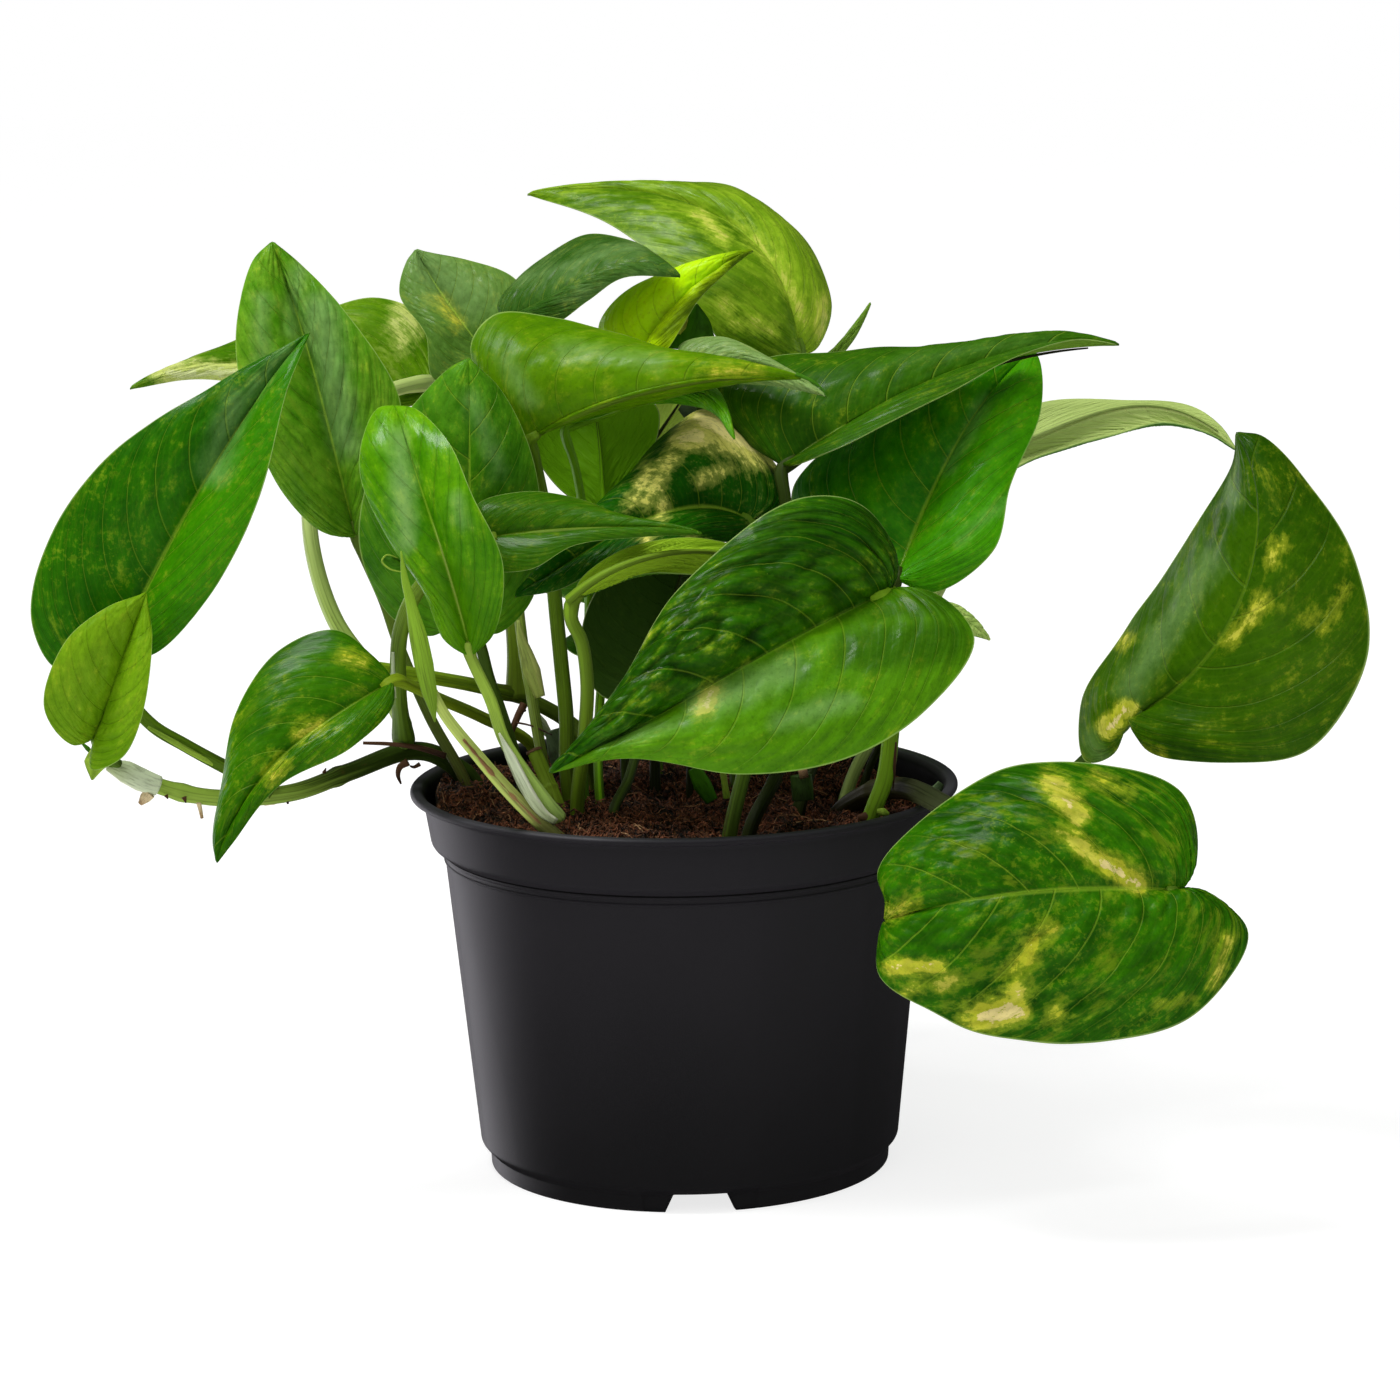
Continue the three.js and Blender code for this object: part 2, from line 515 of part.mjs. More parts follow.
    stemRadius: 1.2,
    from: 'vine_back',
    tint: 'mid',
  },
  leaf_32: {
    rib: [[4, 92, 54], [-3, 97, 40], [-10, 99, 25], [-14, 96, 10]],
    left: [[10, 92, 57], [16, 94, 46], [11, 98, 30], [0, 99, 17]],
    right: [[-3, 90, 58], [-16, 88, 52], [-22, 91, 36], [-20, 94, 21]],
    puff: [2, 2],
    stem: [[12, 83, 46], [9, 87, 52], [5, 91, 54.5]],
    stemRadius: 1.1,
    from: 'vine_back',
    tint: 'fresh',
  },
  leaf_33: {
    rib: [[34, 58, 104], [39, 72, 109], [44, 88, 108], [48, 103, 100]],
    left: [[27, 60, 106], [21, 70, 108], [25, 86, 108], [38, 98, 105]],
    right: [[41, 54, 105], [53, 60, 107], [58, 76, 107], [54, 92, 104]],
    puff: [2, 2],
    stem: [[28, 24, 82], [30, 38, 92], [33, 54, 102]],
    stemRadius: 1.3,
    tint: 'mid',
  },
  leaf_34: {
    rib: [[-8, 58, 100], [-9, 74, 105], [-9, 90, 104], [-8, 106, 96]],
    left: [[-15, 56, 101], [-26, 62, 103], [-26, 80, 104], [-17, 98, 101]],
    right: [[-1, 57, 101], [9, 64, 104], [8, 82, 105], [1, 98, 101]],
    puff: [2, 2],
    stem: [[-12, 36, 84], [-11, 44, 91], [-9, 55, 99]],
    stemRadius: 1.2,
    tint: 'deep',
  },
};

// Vines and shoots start in the soil, or on the one that `from` names.
const VINES = {
  vine_left: {
    path: [[-45.5, 8, 82], [-54, 6, 91], [-60, 4, 93], [-72.5, -8, 91], [-84.5, -22, 89.5],
      [-100, -28, 89], [-111.5, -30, 92], [-118.5, -34, 96.5]],
    radius: 2,
  },
  vine_mid: {
    path: [[-20.5, 8, 88.5], [-24, 12, 95], [-33.5, 13, 101], [-37, 12, 102.5], [-46, 4, 106.5],
      [-53.5, -6, 110], [-64, -16, 114], [-74, -22, 116.5]],
    radius: 1.7,
  },
  vine_right: {
    path: [[33.5, -2, 76.5], [39.5, -11, 83.5], [44.5, -19, 86.5], [49.5, -31, 88.5],
      [54.5, -40, 87.5], [64, -34, 81], [69.5, -30, 78]],
    radius: 2.3,
  },
  shoot_front: {
    path: [[-21, -40, 79.5], [-25.5, -46, 86], [-34, -49, 92], [-42, -51, 101], [-49.5, -51, 111.5]],
    radius: 1.9,
  },
  sheath_front: {
    path: [[-50.5, -52, 109], [-52, -52, 114], [-54, -52, 128.5], [-55.5, -51, 137],
      [-57.5, -49, 144.5]],
    radius: 1.3,
    from: 'shoot_front',
  },
  stub_01: {
    path: [[-27, -14, 81.5], [-30, -10, 88.5], [-32.5, -8, 94]],
    radius: 1.6,
  },
  vine_back: {
    path: [[14, 36, 81], [15, 50, 87], [16, 60, 89], [17, 72, 83], [16, 79, 68], [13, 82, 50],
      [11, 82, 38]],
    radius: 1.8,
  },
};

// ---- pot and soil ------------------------------------------------------------------------
function lathe(profile, segments) {
  const points = profile.map(([radius, z]) => new THREE.Vector2(radius, z));
  return new THREE.LatheGeometry(points, segments).rotateX(Math.PI / 2);
}

function potShell() {
  const inside = (radius) => radius - WALL;
  const floor = BASE_Z + WALL;
  const profile = [
    [0, 0], [PAD_RADIUS, 0], [PAD_RADIUS + 1, BASE_Z], [inside(FOOT_RADIUS), BASE_Z],
    [inside(FOOT_RADIUS), 0], [FOOT_RADIUS, 0], [FOOT_RADIUS + FOOT_FLARE, BODY_FOOT_Z - 1],
    [BODY_FOOT_RADIUS, BODY_FOOT_Z], [BODY_TOP_RADIUS, BODY_TOP_Z], [RING_RADIUS, RING_FOOT_Z],
    [RING_RADIUS, RING_TOP_Z], [COLLAR_FOOT_RADIUS, COLLAR_FOOT_Z],
    [COLLAR_TOP_RADIUS, COLLAR_TOP_Z], [RIM_RADIUS, LIP_UNDERSIDE_Z], [RIM_RADIUS, POT_HEIGHT],
    [RIM_RADIUS - LIP_WIDTH, POT_HEIGHT], [inside(COLLAR_TOP_RADIUS), COLLAR_TOP_Z],
    [inside(COLLAR_FOOT_RADIUS), COLLAR_FOOT_Z], [inside(BODY_TOP_RADIUS), BODY_TOP_Z],
    [inside(BODY_FOOT_RADIUS), BODY_FOOT_Z], [inside(BODY_FOOT_RADIUS) - 1, floor],
    [0, floor], [0, 0],
  ];
  return solidFrom(lathe(profile, POT_SEGMENTS));
}

function notchCutter(turn) {
  const shape = new THREE.Shape();
  shape.moveTo(-NOTCH.bottom / 2, -1);
  shape.lineTo(NOTCH.bottom / 2, -1);
  shape.lineTo(NOTCH.top / 2, NOTCH.height);
  shape.lineTo(-NOTCH.top / 2, NOTCH.height);
  shape.closePath();
  const cutter = new THREE.ExtrudeGeometry(shape, { depth: NOTCH.depth, bevelEnabled: false });
  cutter.rotateX(Math.PI / 2).translate(0, NOTCH.depth / 2 - FOOT_RADIUS, 0).rotateZ(turn);
  return solidFrom(cutter);
}

function drainCutter(turn) {
  const cutter = new THREE.CylinderGeometry(DRAIN.radius, DRAIN.radius, 3 * BASE_Z, DRAIN.sides);
  cutter.rotateX(Math.PI / 2).translate(DRAIN.ring, 0, BASE_Z).rotateZ(turn);
  return solidFrom(cutter);
}

function potGeometry() {
  let pot = potShell();
  const start = THREE.MathUtils.degToRad(NOTCH.turn);
  for (let i = 0; i < NOTCH.count; i += 1) {
    pot = pot.subtract(notchCutter(start + (2 * Math.PI * i) / NOTCH.count));
  }
  for (let i = 0; i < DRAIN.count; i += 1) {
    pot = pot.subtract(drainCutter((2 * Math.PI * i) / DRAIN.count));
  }
  return geometryFrom(pot);
}

// The soil's top is a gently heaped surface that lies lower towards the right.
function soilHeight(x, y) {
  const heap = SOIL_HEAP * Math.sin(x / SOIL_HEAP_LENGTH[0]) * Math.cos(y / SOIL_HEAP_LENGTH[1]);
  return SOIL_Z - SOIL_RIGHT_DROP * x + heap;
}

function soilGeometry(rooted) {
  const clear = WALL + GAP + SOIL_CLEARANCE;
  const floor = BASE_Z + WALL + GAP;
  const edge = COLLAR_FOOT_RADIUS - clear + 0.3;
  const profile = [
    [0, floor], [BODY_FOOT_RADIUS - clear - 1.4, floor], [BODY_FOOT_RADIUS - clear, BODY_FOOT_Z + 1],
    [BODY_TOP_RADIUS - clear, BODY_TOP_Z - 0.5], [COLLAR_FOOT_RADIUS - clear, COLLAR_FOOT_Z + 0.3],
  ];
  for (let i = 0; i <= SOIL_RINGS; i += 1) profile.push([edge * (1 - i / SOIL_RINGS), SOIL_Z]);
  const body = lathe(profile, POT_SEGMENTS);
  const position = body.attributes.position;
  for (let i = 0; i < position.count; i += 1) {
    if (position.getZ(i) > SOIL_Z - WELD) {
      position.setZ(i, soilHeight(position.getX(i), position.getY(i)));
    }
  }
  let soil = solidFrom(body);
  for (const { points, radius } of rooted) soil = soil.subtract(solidFrom(tube(points, radius + GAP)));
  return geometryFrom(soil);
}

// ---- the plant ---------------------------------------------------------------------------
// A rooted stem goes straight down into the soil below its first point.
const rootPoint = (first, z) => new THREE.Vector3(ROOT_PULL * first[0], ROOT_PULL * first[1], z);
const rooted = (path, footZ) => [rootPoint(path[0], footZ), ...path.map(point)];

function lengthened(path, length) {
  const [before, end] = path.slice(-2);
  return [...path.slice(0, -1), end.clone().addScaledVector(end.clone().sub(before).normalize(), length)];
}

function vineSolids() {
  const solids = {};
  for (const [name, vine] of Object.entries(VINES)) {
    const path = vine.from ? vine.path.map(point) : rooted(vine.path, STEM_FOOT_Z);
    let solid = solidFrom(tube(path, vine.radius));
    if (vine.from) solid = largestPart(solid.subtract(solids[vine.from].clearance));
    const clearance = solidFrom(tube(lengthened(path, GAP), vine.radius + GAP));
    solids[name] = { solid, clearance };
  }
  return solids;
}

// A leaf's stalk ends a little way along its midrib, inside the blade.
function stalkPath(leaf, footZ) {
  const path = leaf.from ? leaf.stem.map(point) : rooted(leaf.stem, footZ);
  return [...path, midrib(leaf.rib.map(point), STALK_REACH)];
}

function leafSolid(leaf, vines) {
  const stalk = solidFrom(tube(stalkPath(leaf, STEM_FOOT_Z), leaf.stemRadius));
  const solid = stalk.add(solidFrom(bladeGeometry(leaf)));
  return leaf.from ? largestPart(solid.subtract(vines[leaf.from].clearance)) : solid;
}

function piece(name, geometry, color, roughness) {
  const mesh = new THREE.Mesh(geometry, new THREE.MeshStandardMaterial({ color, roughness, metalness: 0 }));
  mesh.name = name;
  return mesh;
}

function plantPieces() {
  const plant = new THREE.Group();
  const vines = vineSolids();
  for (const [name, vine] of Object.entries(vines)) {
    plant.add(piece(name, geometryFrom(vine.solid), GREEN.stem, 0.55));
  }
  for (const [name, leaf] of Object.entries(LEAVES)) {
    plant.add(piece(name, geometryFrom(leafSolid(leaf, vines)), GREEN[leaf.tint], 0.4));
  }
  return plant;
}

// Every path that goes into the soil, started a gap lower so that its hole has a clear floor.
function rootedPaths() {
  const vines = Object.values(VINES).filter((vine) => !vine.from);
  const leaves = Object.values(LEAVES).filter((leaf) => !leaf.from);
  return [
    ...vines.map((vine) => ({ points: rooted(vine.path, STEM_FOOT_Z - GAP), radius: vine.radius })),
    ...leaves.map((leaf) => ({ points: stalkPath(leaf, STEM_FOOT_Z - GAP), radius: leaf.stemRadius })),
  ];
}

const pothos = new THREE.Group();
pothos.name = 'potted_pothos';
pothos.add(piece('pot', potGeometry(), 0x232326, 0.6));
pothos.add(piece('soil', soilGeometry(rootedPaths()), 0x3a1f14, 0.95));
pothos.add(plantPieces());

export default pothos;
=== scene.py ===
# %% [markdown]
# # A potted pothos
# A young climbing plant with waxy heart-shaped leaves, in a small black nursery pot. Everything is
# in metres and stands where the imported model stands: the origin is the middle of the pot's
# underside, +Z is up and the plant's front faces -Y. Most pieces here are surfaces worked out with
# numpy, because a leaf, a stalk or a moulded pot is easier to say as a rule than to model by hand.

import itertools
import math
from types import SimpleNamespace

import bpy
import numpy as np
from mathutils import Matrix


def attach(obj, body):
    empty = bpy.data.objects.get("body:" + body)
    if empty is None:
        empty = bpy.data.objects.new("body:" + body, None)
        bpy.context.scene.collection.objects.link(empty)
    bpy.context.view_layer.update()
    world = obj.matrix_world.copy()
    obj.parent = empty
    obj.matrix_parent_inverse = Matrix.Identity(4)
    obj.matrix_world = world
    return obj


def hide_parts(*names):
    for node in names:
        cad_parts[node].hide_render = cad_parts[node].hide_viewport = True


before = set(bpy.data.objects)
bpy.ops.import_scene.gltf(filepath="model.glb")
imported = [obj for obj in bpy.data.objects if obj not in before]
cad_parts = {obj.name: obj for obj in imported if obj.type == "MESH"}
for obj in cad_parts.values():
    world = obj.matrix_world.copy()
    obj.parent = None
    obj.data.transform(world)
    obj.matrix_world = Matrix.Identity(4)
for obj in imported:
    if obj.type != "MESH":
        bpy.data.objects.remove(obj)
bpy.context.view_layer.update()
MM = 0.001

# %% [markdown]
# The camera comes first. The photograph was taken from one metre away, a little above the rim, with
# a long lens, so the rim shows as a flat ellipse. The camera's own axes are kept as numpy vectors
# too, because a mark on a leaf is later placed where the photograph shows it.

# %% Camera
PHOTO_PIXELS = 1400
FOCAL_PIXELS = 4566.0
DISTANCE = 1.0
ELEVATION = math.radians(10.71)
ROLL = math.radians(-0.93)
TARGET = np.array([3.83, 0.0, 103.06]) * MM

to_camera = np.array([0.0, -math.cos(ELEVATION), math.sin(ELEVATION)])
level_up = np.array([0.0, math.sin(ELEVATION), math.cos(ELEVATION)])
photo_right = np.array([math.cos(ROLL), 0.0, 0.0]) + level_up * math.sin(ROLL)
photo_up = np.array([-math.sin(ROLL), 0.0, 0.0]) + level_up * math.cos(ROLL)
eye = TARGET + to_camera * DISTANCE


def in_photo(points):
    """The pixel of the photograph on which each point falls: its offsets from the eye to the right
    and up, over its distance, times the focal length, from the middle of the picture."""
    away = points - eye
    depth = -away @ to_camera
    across = PHOTO_PIXELS / 2 + FOCAL_PIXELS * (away @ photo_right) / depth
    down = PHOTO_PIXELS / 2 - FOCAL_PIXELS * (away @ photo_up) / depth
    return np.stack([across, down], axis=-1)


camera_data = bpy.data.cameras.new("camera")
camera_data.sensor_width = 36.0
camera_data.lens = FOCAL_PIXELS * camera_data.sensor_width / PHOTO_PIXELS
camera_data.clip_end = 20.0
camera = bpy.data.objects.new("camera", camera_data)
bpy.context.scene.collection.objects.link(camera)
axes = np.eye(4)
axes[:3, 0], axes[:3, 1], axes[:3, 2], axes[:3, 3] = photo_right, photo_up, to_camera, eye
camera.matrix_world = Matrix(axes.tolist())
bpy.context.scene.camera = camera
print("camera at", eye.round(3), "lens", round(camera_data.lens, 1))

# %% [markdown]
# Grown things are never even. This gives every point in space a smooth random number, the same on
# every run, from which the waves of a leaf, the lumps of the soil and the kinks of a root are made.

# %% Smooth random numbers


def lumps(points, size, seed=0):
    """Numbers from -1 to 1 that change smoothly over about `size`: space is cut into cells, each
    corner gets a number from its own cell address, and a point takes its eight corners' smooth
    mix."""
    cell_place = np.asarray(points, float) / size
    cell = np.floor(cell_place).astype(np.int64)
    share = cell_place - cell
    share = share * share * (3 - 2 * share)
    total = 0.0
    for corner in itertools.product((0, 1), repeat=3):
        address = cell + np.array(corner)
        mixed = address[..., 0] * 73856093 ^ address[..., 1] * 19349663 ^ address[..., 2] * 83492791
        mixed = (mixed ^ seed * 97531) * 1274126177 & 0x7FFFFFFF
        mixed = (mixed ^ mixed >> 15) * 1103515245 & 0x7FFFFFFF
        weight = np.prod(np.where(corner, share, 1 - share), axis=-1)
        total = total + weight * (mixed / 0x3FFFFFFF - 1)
    return total


print("lumps at the origin:", float(lumps(np.zeros(3), 1.0)))

# %% [markdown]
# A piece is put together from patches, and a patch is a grid of points with a quad between each
# four neighbours. `Shape` gathers patches with their finishes, each corner's place on its own patch
# for the patterns, and three marks that a finish may read: gold or cream, painted sheen and painted
# shade, and the hollows that the finish paints in shade.

# %% Patches and pieces
# The marks: gold and cream; painted sheen less painted shade; hollows that the finish paints in
# shade.
MARKS = ("mark", "painted_light_mask", "height")


class Shape:
    """Gathers the patches of one piece."""

    def __init__(self):
        self.points, self.places, self.marks, self.faces, self.finishes = [], [], [], [], []
        self.count = 0

    def add(self, points, faces, finish=0, places=None, marks=None):
        """Adds corners, and faces that count from this patch's first corner."""
        points = np.asarray(points, float).reshape(-1, 3)
        self.points.append(points)
        for kept, given, width in ((self.places, places, 2), (self.marks, marks, len(MARKS))):
            given = np.zeros((len(points), width)) if given is None else np.asarray(given, float)
            kept.append(given.reshape(-1, width))
        for group in faces:
            self.faces.append(np.asarray(group) + self.count)
            self.finishes.append(np.full(len(group), finish))
        self.count += len(points)


def quads(rows, columns, closed=False):
    """Faces between neighbouring rows and columns; closed joins the last column to the first."""
    index = np.arange(rows * columns).reshape(rows, columns)
    if closed:
        index = np.hstack([index, index[:, :1]])
    corners = [index[:-1, :-1], index[:-1, 1:], index[1:, 1:], index[1:, :-1]]
    return np.stack(corners, axis=-1).reshape(-1, 4)


def capped(rows, columns):
    """The quads of a closed sleeve, and one flat face over each of its two open ends."""
    ring = np.arange(columns)[None]
    return [quads(rows, columns, closed=True), ring[:, ::-1], ring + (rows - 1) * columns]


def piece(name, shape, finishes, nodes=()):
    """Makes the gathered patches one object at the origin, which rides on the plant's one body."""
    points = np.vstack(shape.points)
    corners = np.concatenate([group.ravel() for group in shape.faces])
    sizes = np.concatenate([np.full(len(group), group.shape[1]) for group in shape.faces])
    mesh = bpy.data.meshes.new(name)
    mesh.vertices.add(len(points))
    mesh.vertices.foreach_set("co", points.ravel())
    mesh.loops.add(len(corners))
    mesh.loops.foreach_set("vertex_index", corners)
    mesh.polygons.add(len(sizes))
    mesh.polygons.foreach_set("loop_start", np.concatenate([[0], np.cumsum(sizes)[:-1]]))
    for finish in finishes:
        mesh.materials.append(finish)
    mesh.polygons.foreach_set("material_index", np.concatenate(shape.finishes).astype(np.int32))
    mesh.polygons.foreach_set("use_smooth", np.ones(len(sizes), bool))
    places = mesh.uv_layers.new(name="place")
    places.data.foreach_set("uv", np.vstack(shape.places)[corners].ravel())
    for column, mark_name in enumerate(MARKS):
        mark = mesh.attributes.new(mark_name, "FLOAT", "POINT")
        mark.data.foreach_set("value", np.vstack(shape.marks)[:, column])
    mesh.update(calc_edges=True)
    mesh.validate()
    thing = bpy.data.objects.new(name, mesh)
    bpy.context.scene.collection.objects.link(thing)
    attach(thing, "root")
    if nodes:
        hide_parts(*nodes)
    print(name, len(mesh.polygons), "faces")
    return thing


# %% [markdown]
# A thin sheet, such as a leaf blade, has an upper and a lower face and a rim between them. A closed
# body like this shades well from both sides, where a single sheet would show its back through.

# %% Thin sheets


def unit(vectors):
    """Vectors of length one, and zero where there is none."""
    length = np.linalg.norm(vectors, axis=-1, keepdims=True)
    return vectors / np.maximum(length, 1e-12)


def face_directions(sheet, spare):
    """The direction that each point of a grid faces: across times along. Where the grid is pinched
    to a point there is none, and the spare direction is used."""
    normal = np.cross(np.gradient(sheet, axis=1), np.gradient(sheet, axis=0))
    pinched = np.linalg.norm(normal, axis=-1, keepdims=True) < 1e-11
    return np.where(pinched, unit(spare), unit(normal))


def add_sheet(shape, sheet, normal, half, places, marks, finishes):
    """Adds a sheet whose first and last rows are single points, with half a thickness to each
    side."""
    rows, columns = sheet.shape[:2]
    index = np.zeros((rows, columns), int)
    index[1:-1] = 1 + np.arange((rows - 2) * columns).reshape(rows - 2, columns)
    index[-1] = 1 + (rows - 2) * columns
    keep = np.r_[0, np.arange(columns, (rows - 1) * columns), rows * columns - 1]
    middle = columns // 2
    keep[0], keep[-1] = middle, (rows - 1) * columns + middle
    upper = (sheet + normal * half).reshape(-1, 3)[keep]
    lower = (sheet - normal * half).reshape(-1, 3)[keep]
    across = [index[:-1, :-1], index[:-1, 1:], index[1:, 1:], index[1:, :-1]]
    body = np.stack([corner[1:-1] for corner in across], axis=-1).reshape(-1, 4)
    first = np.stack([index[0, :-1], index[1, 1:], index[1, :-1]], axis=-1)
    last = np.stack([index[-2, :-1], index[-2, 1:], index[-1, :-1]], axis=-1)
    flat = places.reshape(-1, 2)[keep], marks.reshape(-1, len(MARKS))[keep]
    shape.add(upper, [body, first, last], finishes[0], *flat)
    shape.add(lower, [body[:, ::-1], first[:, ::-1], last[:, ::-1]], finishes[1], *flat)
    ring = np.r_[index[:, 0], index[-2:0:-1, -1]]
    follow = np.roll(ring, -1)
    both = np.vstack([upper, lower])
    under = len(upper)
    rim = np.stack([ring, follow, follow + under, ring + under], axis=-1)
    shape.add(both, [rim], finishes[0], np.vstack([flat[0]] * 2), np.vstack([flat[1]] * 2))


# %% [markdown]
# Stalks, vines and roots are tubes: a cross-section carried along a path. The path is a smooth
# curve through a few points, and the section's first direction is turned along with the path as
# little as possible, so that a groove runs down the stalk without twisting.

# %% Curves and tubes


def through(points, count):
    """Evenly spaced points on the centripetal curve through the given ones: each stretch is the
    cubic whose ends run with their neighbours, timed by the square root of the distances."""
    points = np.asarray(points, float)
    ends = np.vstack([2 * points[0] - points[1], points, 2 * points[-1] - points[-2]])
    share = np.linspace(0, 1, 24, endpoint=False)[:, None]
    stretches = []
    for p0, p1, p2, p3 in zip(ends, ends[1:], ends[2:], ends[3:]):
        d0, d1, d2 = (max(np.linalg.norm(b - a) ** 0.5, 1e-6)
                      for a, b in ((p0, p1), (p1, p2), (p2, p3)))
        leave = d1 * ((p1 - p0) / d0 - (p2 - p0) / (d0 + d1) + (p2 - p1) / d1)
        reach = d1 * ((p2 - p1) / d1 - (p3 - p1) / (d1 + d2) + (p3 - p2) / d2)
        square = 3 * (p2 - p1) - 2 * leave - reach
        cube = 2 * (p1 - p2) + leave + reach
        stretches.append(p1 + leave * share + square * share**2 + cube * share**3)
    fine = np.vstack(stretches + [points[-1:]])
    walked = np.r_[0, np.cumsum(np.linalg.norm(np.diff(fine, axis=0), axis=1))]
    at = np.linspace(0, walked[-1], count)
    return np.stack([np.interp(at, walked, fine[:, k]) for k in range(3)], axis=-1)


def carried(path, side):
    """Two directions across the path at each point: side, turned along with it, and the one square
    to both."""
    forward = unit(np.gradient(path, axis=0))
    first = [unit(side - forward[0] * (side @ forward[0]))]
    for ahead in forward[1:]:
        first.append(unit(first[-1] - ahead * (first[-1] @ ahead)))
    first = np.array(first)
    return first, np.cross(forward, first)


def tube(path, radius, section=None, side=(0.0, 0.0, 1.0), sides=20):
    """Points of a tube: path + radius * section(angle) * (cos * first + sin * second)."""
    angle = np.linspace(0, 2 * math.pi, sides, endpoint=False)
    shape_of = np.ones(sides) if section is None else section(angle)
    reach = np.asarray(radius).reshape(-1, 1) * np.atleast_2d(shape_of)
    first, second = carried(path, np.asarray(side, float))
    return (path[:, None]
            + (reach * np.cos(angle))[..., None] * first[:, None]
            + (reach * np.sin(angle))[..., None] * second[:, None])


def add_tube(shape, skin, finish=0):
    """Adds a tube with its two ends closed by fans to their middles."""
    rows, sides = skin.shape[:2]
    points = np.vstack([skin.reshape(-1, 3), skin[0].mean(0), skin[-1].mean(0)])
    along = np.linspace(0, 1, rows)[:, None]
    around = np.abs(np.linspace(-1, 1, sides, endpoint=False))[None, :]
    places = np.stack(np.broadcast_arrays(around, along), axis=-1).reshape(-1, 2)
    places = np.vstack([places, [[0.5, 0.0], [0.5, 1.0]]])
    ring = np.arange(sides)
    follow = np.roll(ring, -1)
    start, end = rows * sides, rows * sides + 1
    first = np.stack([np.full(sides, start), follow, ring], axis=-1)
    last_ring = (rows - 1) * sides
    last = np.stack([np.full(sides, end), last_ring + ring, last_ring + follow], axis=-1)
    shape.add(points, [quads(rows, sides, closed=True), first, last], finish, places)


# %% [markdown]
# A finish is a small network of nodes. Written node by node it would run to pages, so `Finish` adds
# any node in one call, and `Number` lets a socket be used in a sum: `1 - mask` adds the Math node.

# %% Shader sums


class Number:
    """A socket that can be reckoned with."""

    def __init__(self, finish, socket):
        self.finish, self.socket = finish, socket

    def sum(self, operation, *values):
        return self.finish.node("ShaderNodeMath", {"operation": operation}, dict(enumerate(values)))

    def __add__(self, other):
        return self.sum("ADD", self, other)

    def __radd__(self, other):
        return self.sum("ADD", other, self)

    def __sub__(self, other):
        return self.sum("SUBTRACT", self, other)

    def __rsub__(self, other):
        return self.sum("SUBTRACT", other, self)

    def __mul__(self, other):
        return self.sum("MULTIPLY", self, other)

    def __rmul__(self, other):
        return self.sum("MULTIPLY", other, self)

    def __truediv__(self, other):
        return self.sum("DIVIDE", self, other)

    def __pow__(self, other):
        return self.sum("POWER", self, other)

    def __abs__(self):
        return self.sum("ABSOLUTE", self)

    def larger(self, other):
        return self.sum("MAXIMUM", self, other)

    def fraction(self):
        return self.sum("FRACT", self)

    def rise(self, low, high):
        """0 below low, 1 above high and smooth between."""
        return self.finish.node("ShaderNodeMapRange", {"interpolation_type": "SMOOTHSTEP"},
                                {"Value": self, "From Min": low, "From Max": high})


class Finish:
    """A material under construction, or the world's network if that is its owner."""

    def __init__(self, name, owner=None):
        self.material = owner or bpy.data.materials.new(name)
        self.material.use_nodes = True
        self.tree = self.material.node_tree
        self.tree.nodes.clear()

    def node(self, kind, settings=None, inputs=None, output=0):
        """Adds a node: its settings first, then a value or a link for each input."""
        made = self.tree.nodes.new(kind)
        for key, value in (settings or {}).items():
            setattr(made, key, value)
        for key, value in (inputs or {}).items():
            if isinstance(value, Number):
                self.tree.links.new(value.socket, made.inputs[key])
            else:
                made.inputs[key].default_value = value
        return Number(self, made.outputs[output]) if made.outputs else None

    def mix(self, first, second, share):
        """A colour between two."""
        return self.node("ShaderNodeMix", {"data_type": "RGBA"}, {0: share, 6: first, 7: second}, 2)

    def noise(self, where, scale, detail=2.0, rough=0.5):
        return self.node("ShaderNodeTexNoise", None,
                         {"Vector": where, "Scale": scale, "Detail": detail, "Roughness": rough})

    def here(self):
        """The place on the object, in metres."""
        return self.node("ShaderNodeTexCoord", output="Object")

    def attribute(self, name):
        """A number that each corner carries."""
        return self.node("ShaderNodeAttribute", {"attribute_name": name}, None, "Fac")

    def own_place(self):
        """The corner's place on its own patch: across and along."""
        place = self.node("ShaderNodeUVMap", {"uv_map": "place"})
        parts = {"Vector": place}
        return (self.node("ShaderNodeSeparateXYZ", None, parts, 0),
                self.node("ShaderNodeSeparateXYZ", None, parts, 1))

    def vector(self, x, y, z=0.0):
        return self.node("ShaderNodeCombineXYZ", None, {0: x, 1: y, 2: z})

    def bump(self, height, depth, strength=1.0):
        """A normal that shows height as relief of this depth in metres."""
        return self.node("ShaderNodeBump", None,
                         {"Height": height, "Distance": depth, "Strength": strength})

    def surface(self, color, roughness, normal=None, **constants):
        """Ends the material in one shader. The constants are set on its own sockets."""
        links = {"Base Color": color, "Roughness": roughness, **constants}
        if normal is not None:
            links["Normal"] = normal
        shader = self.node("ShaderNodeBsdfPrincipled", None, links)
        self.node("ShaderNodeOutputMaterial", None, {"Surface": shader})
        return self.material


def swing(noise, size):
    """Noise that swings evenly to both sides of zero."""
    return (noise - 0.5) * size


def seen(red, green, blue):
    """A colour as the screen gives it, from 0 to 255, in the light's own numbers."""
    share = np.array([red, green, blue]) / 255
    light = np.where(share <= 0.04045, share / 12.92, ((share + 0.055) / 1.055) ** 2.4)
    return (*light.tolist(), 1.0)


def dimmed(rgb, factor):
    """These screen values times a factor, as the light's own numbers."""
    return seen(*(factor * np.array(rgb)))


def blend(first, second, share):
    """A constant colour between two."""
    return tuple((1 - share) * a + share * b for a, b in zip(first, second))


print("mid grey is", seen(128, 128, 128)[0])

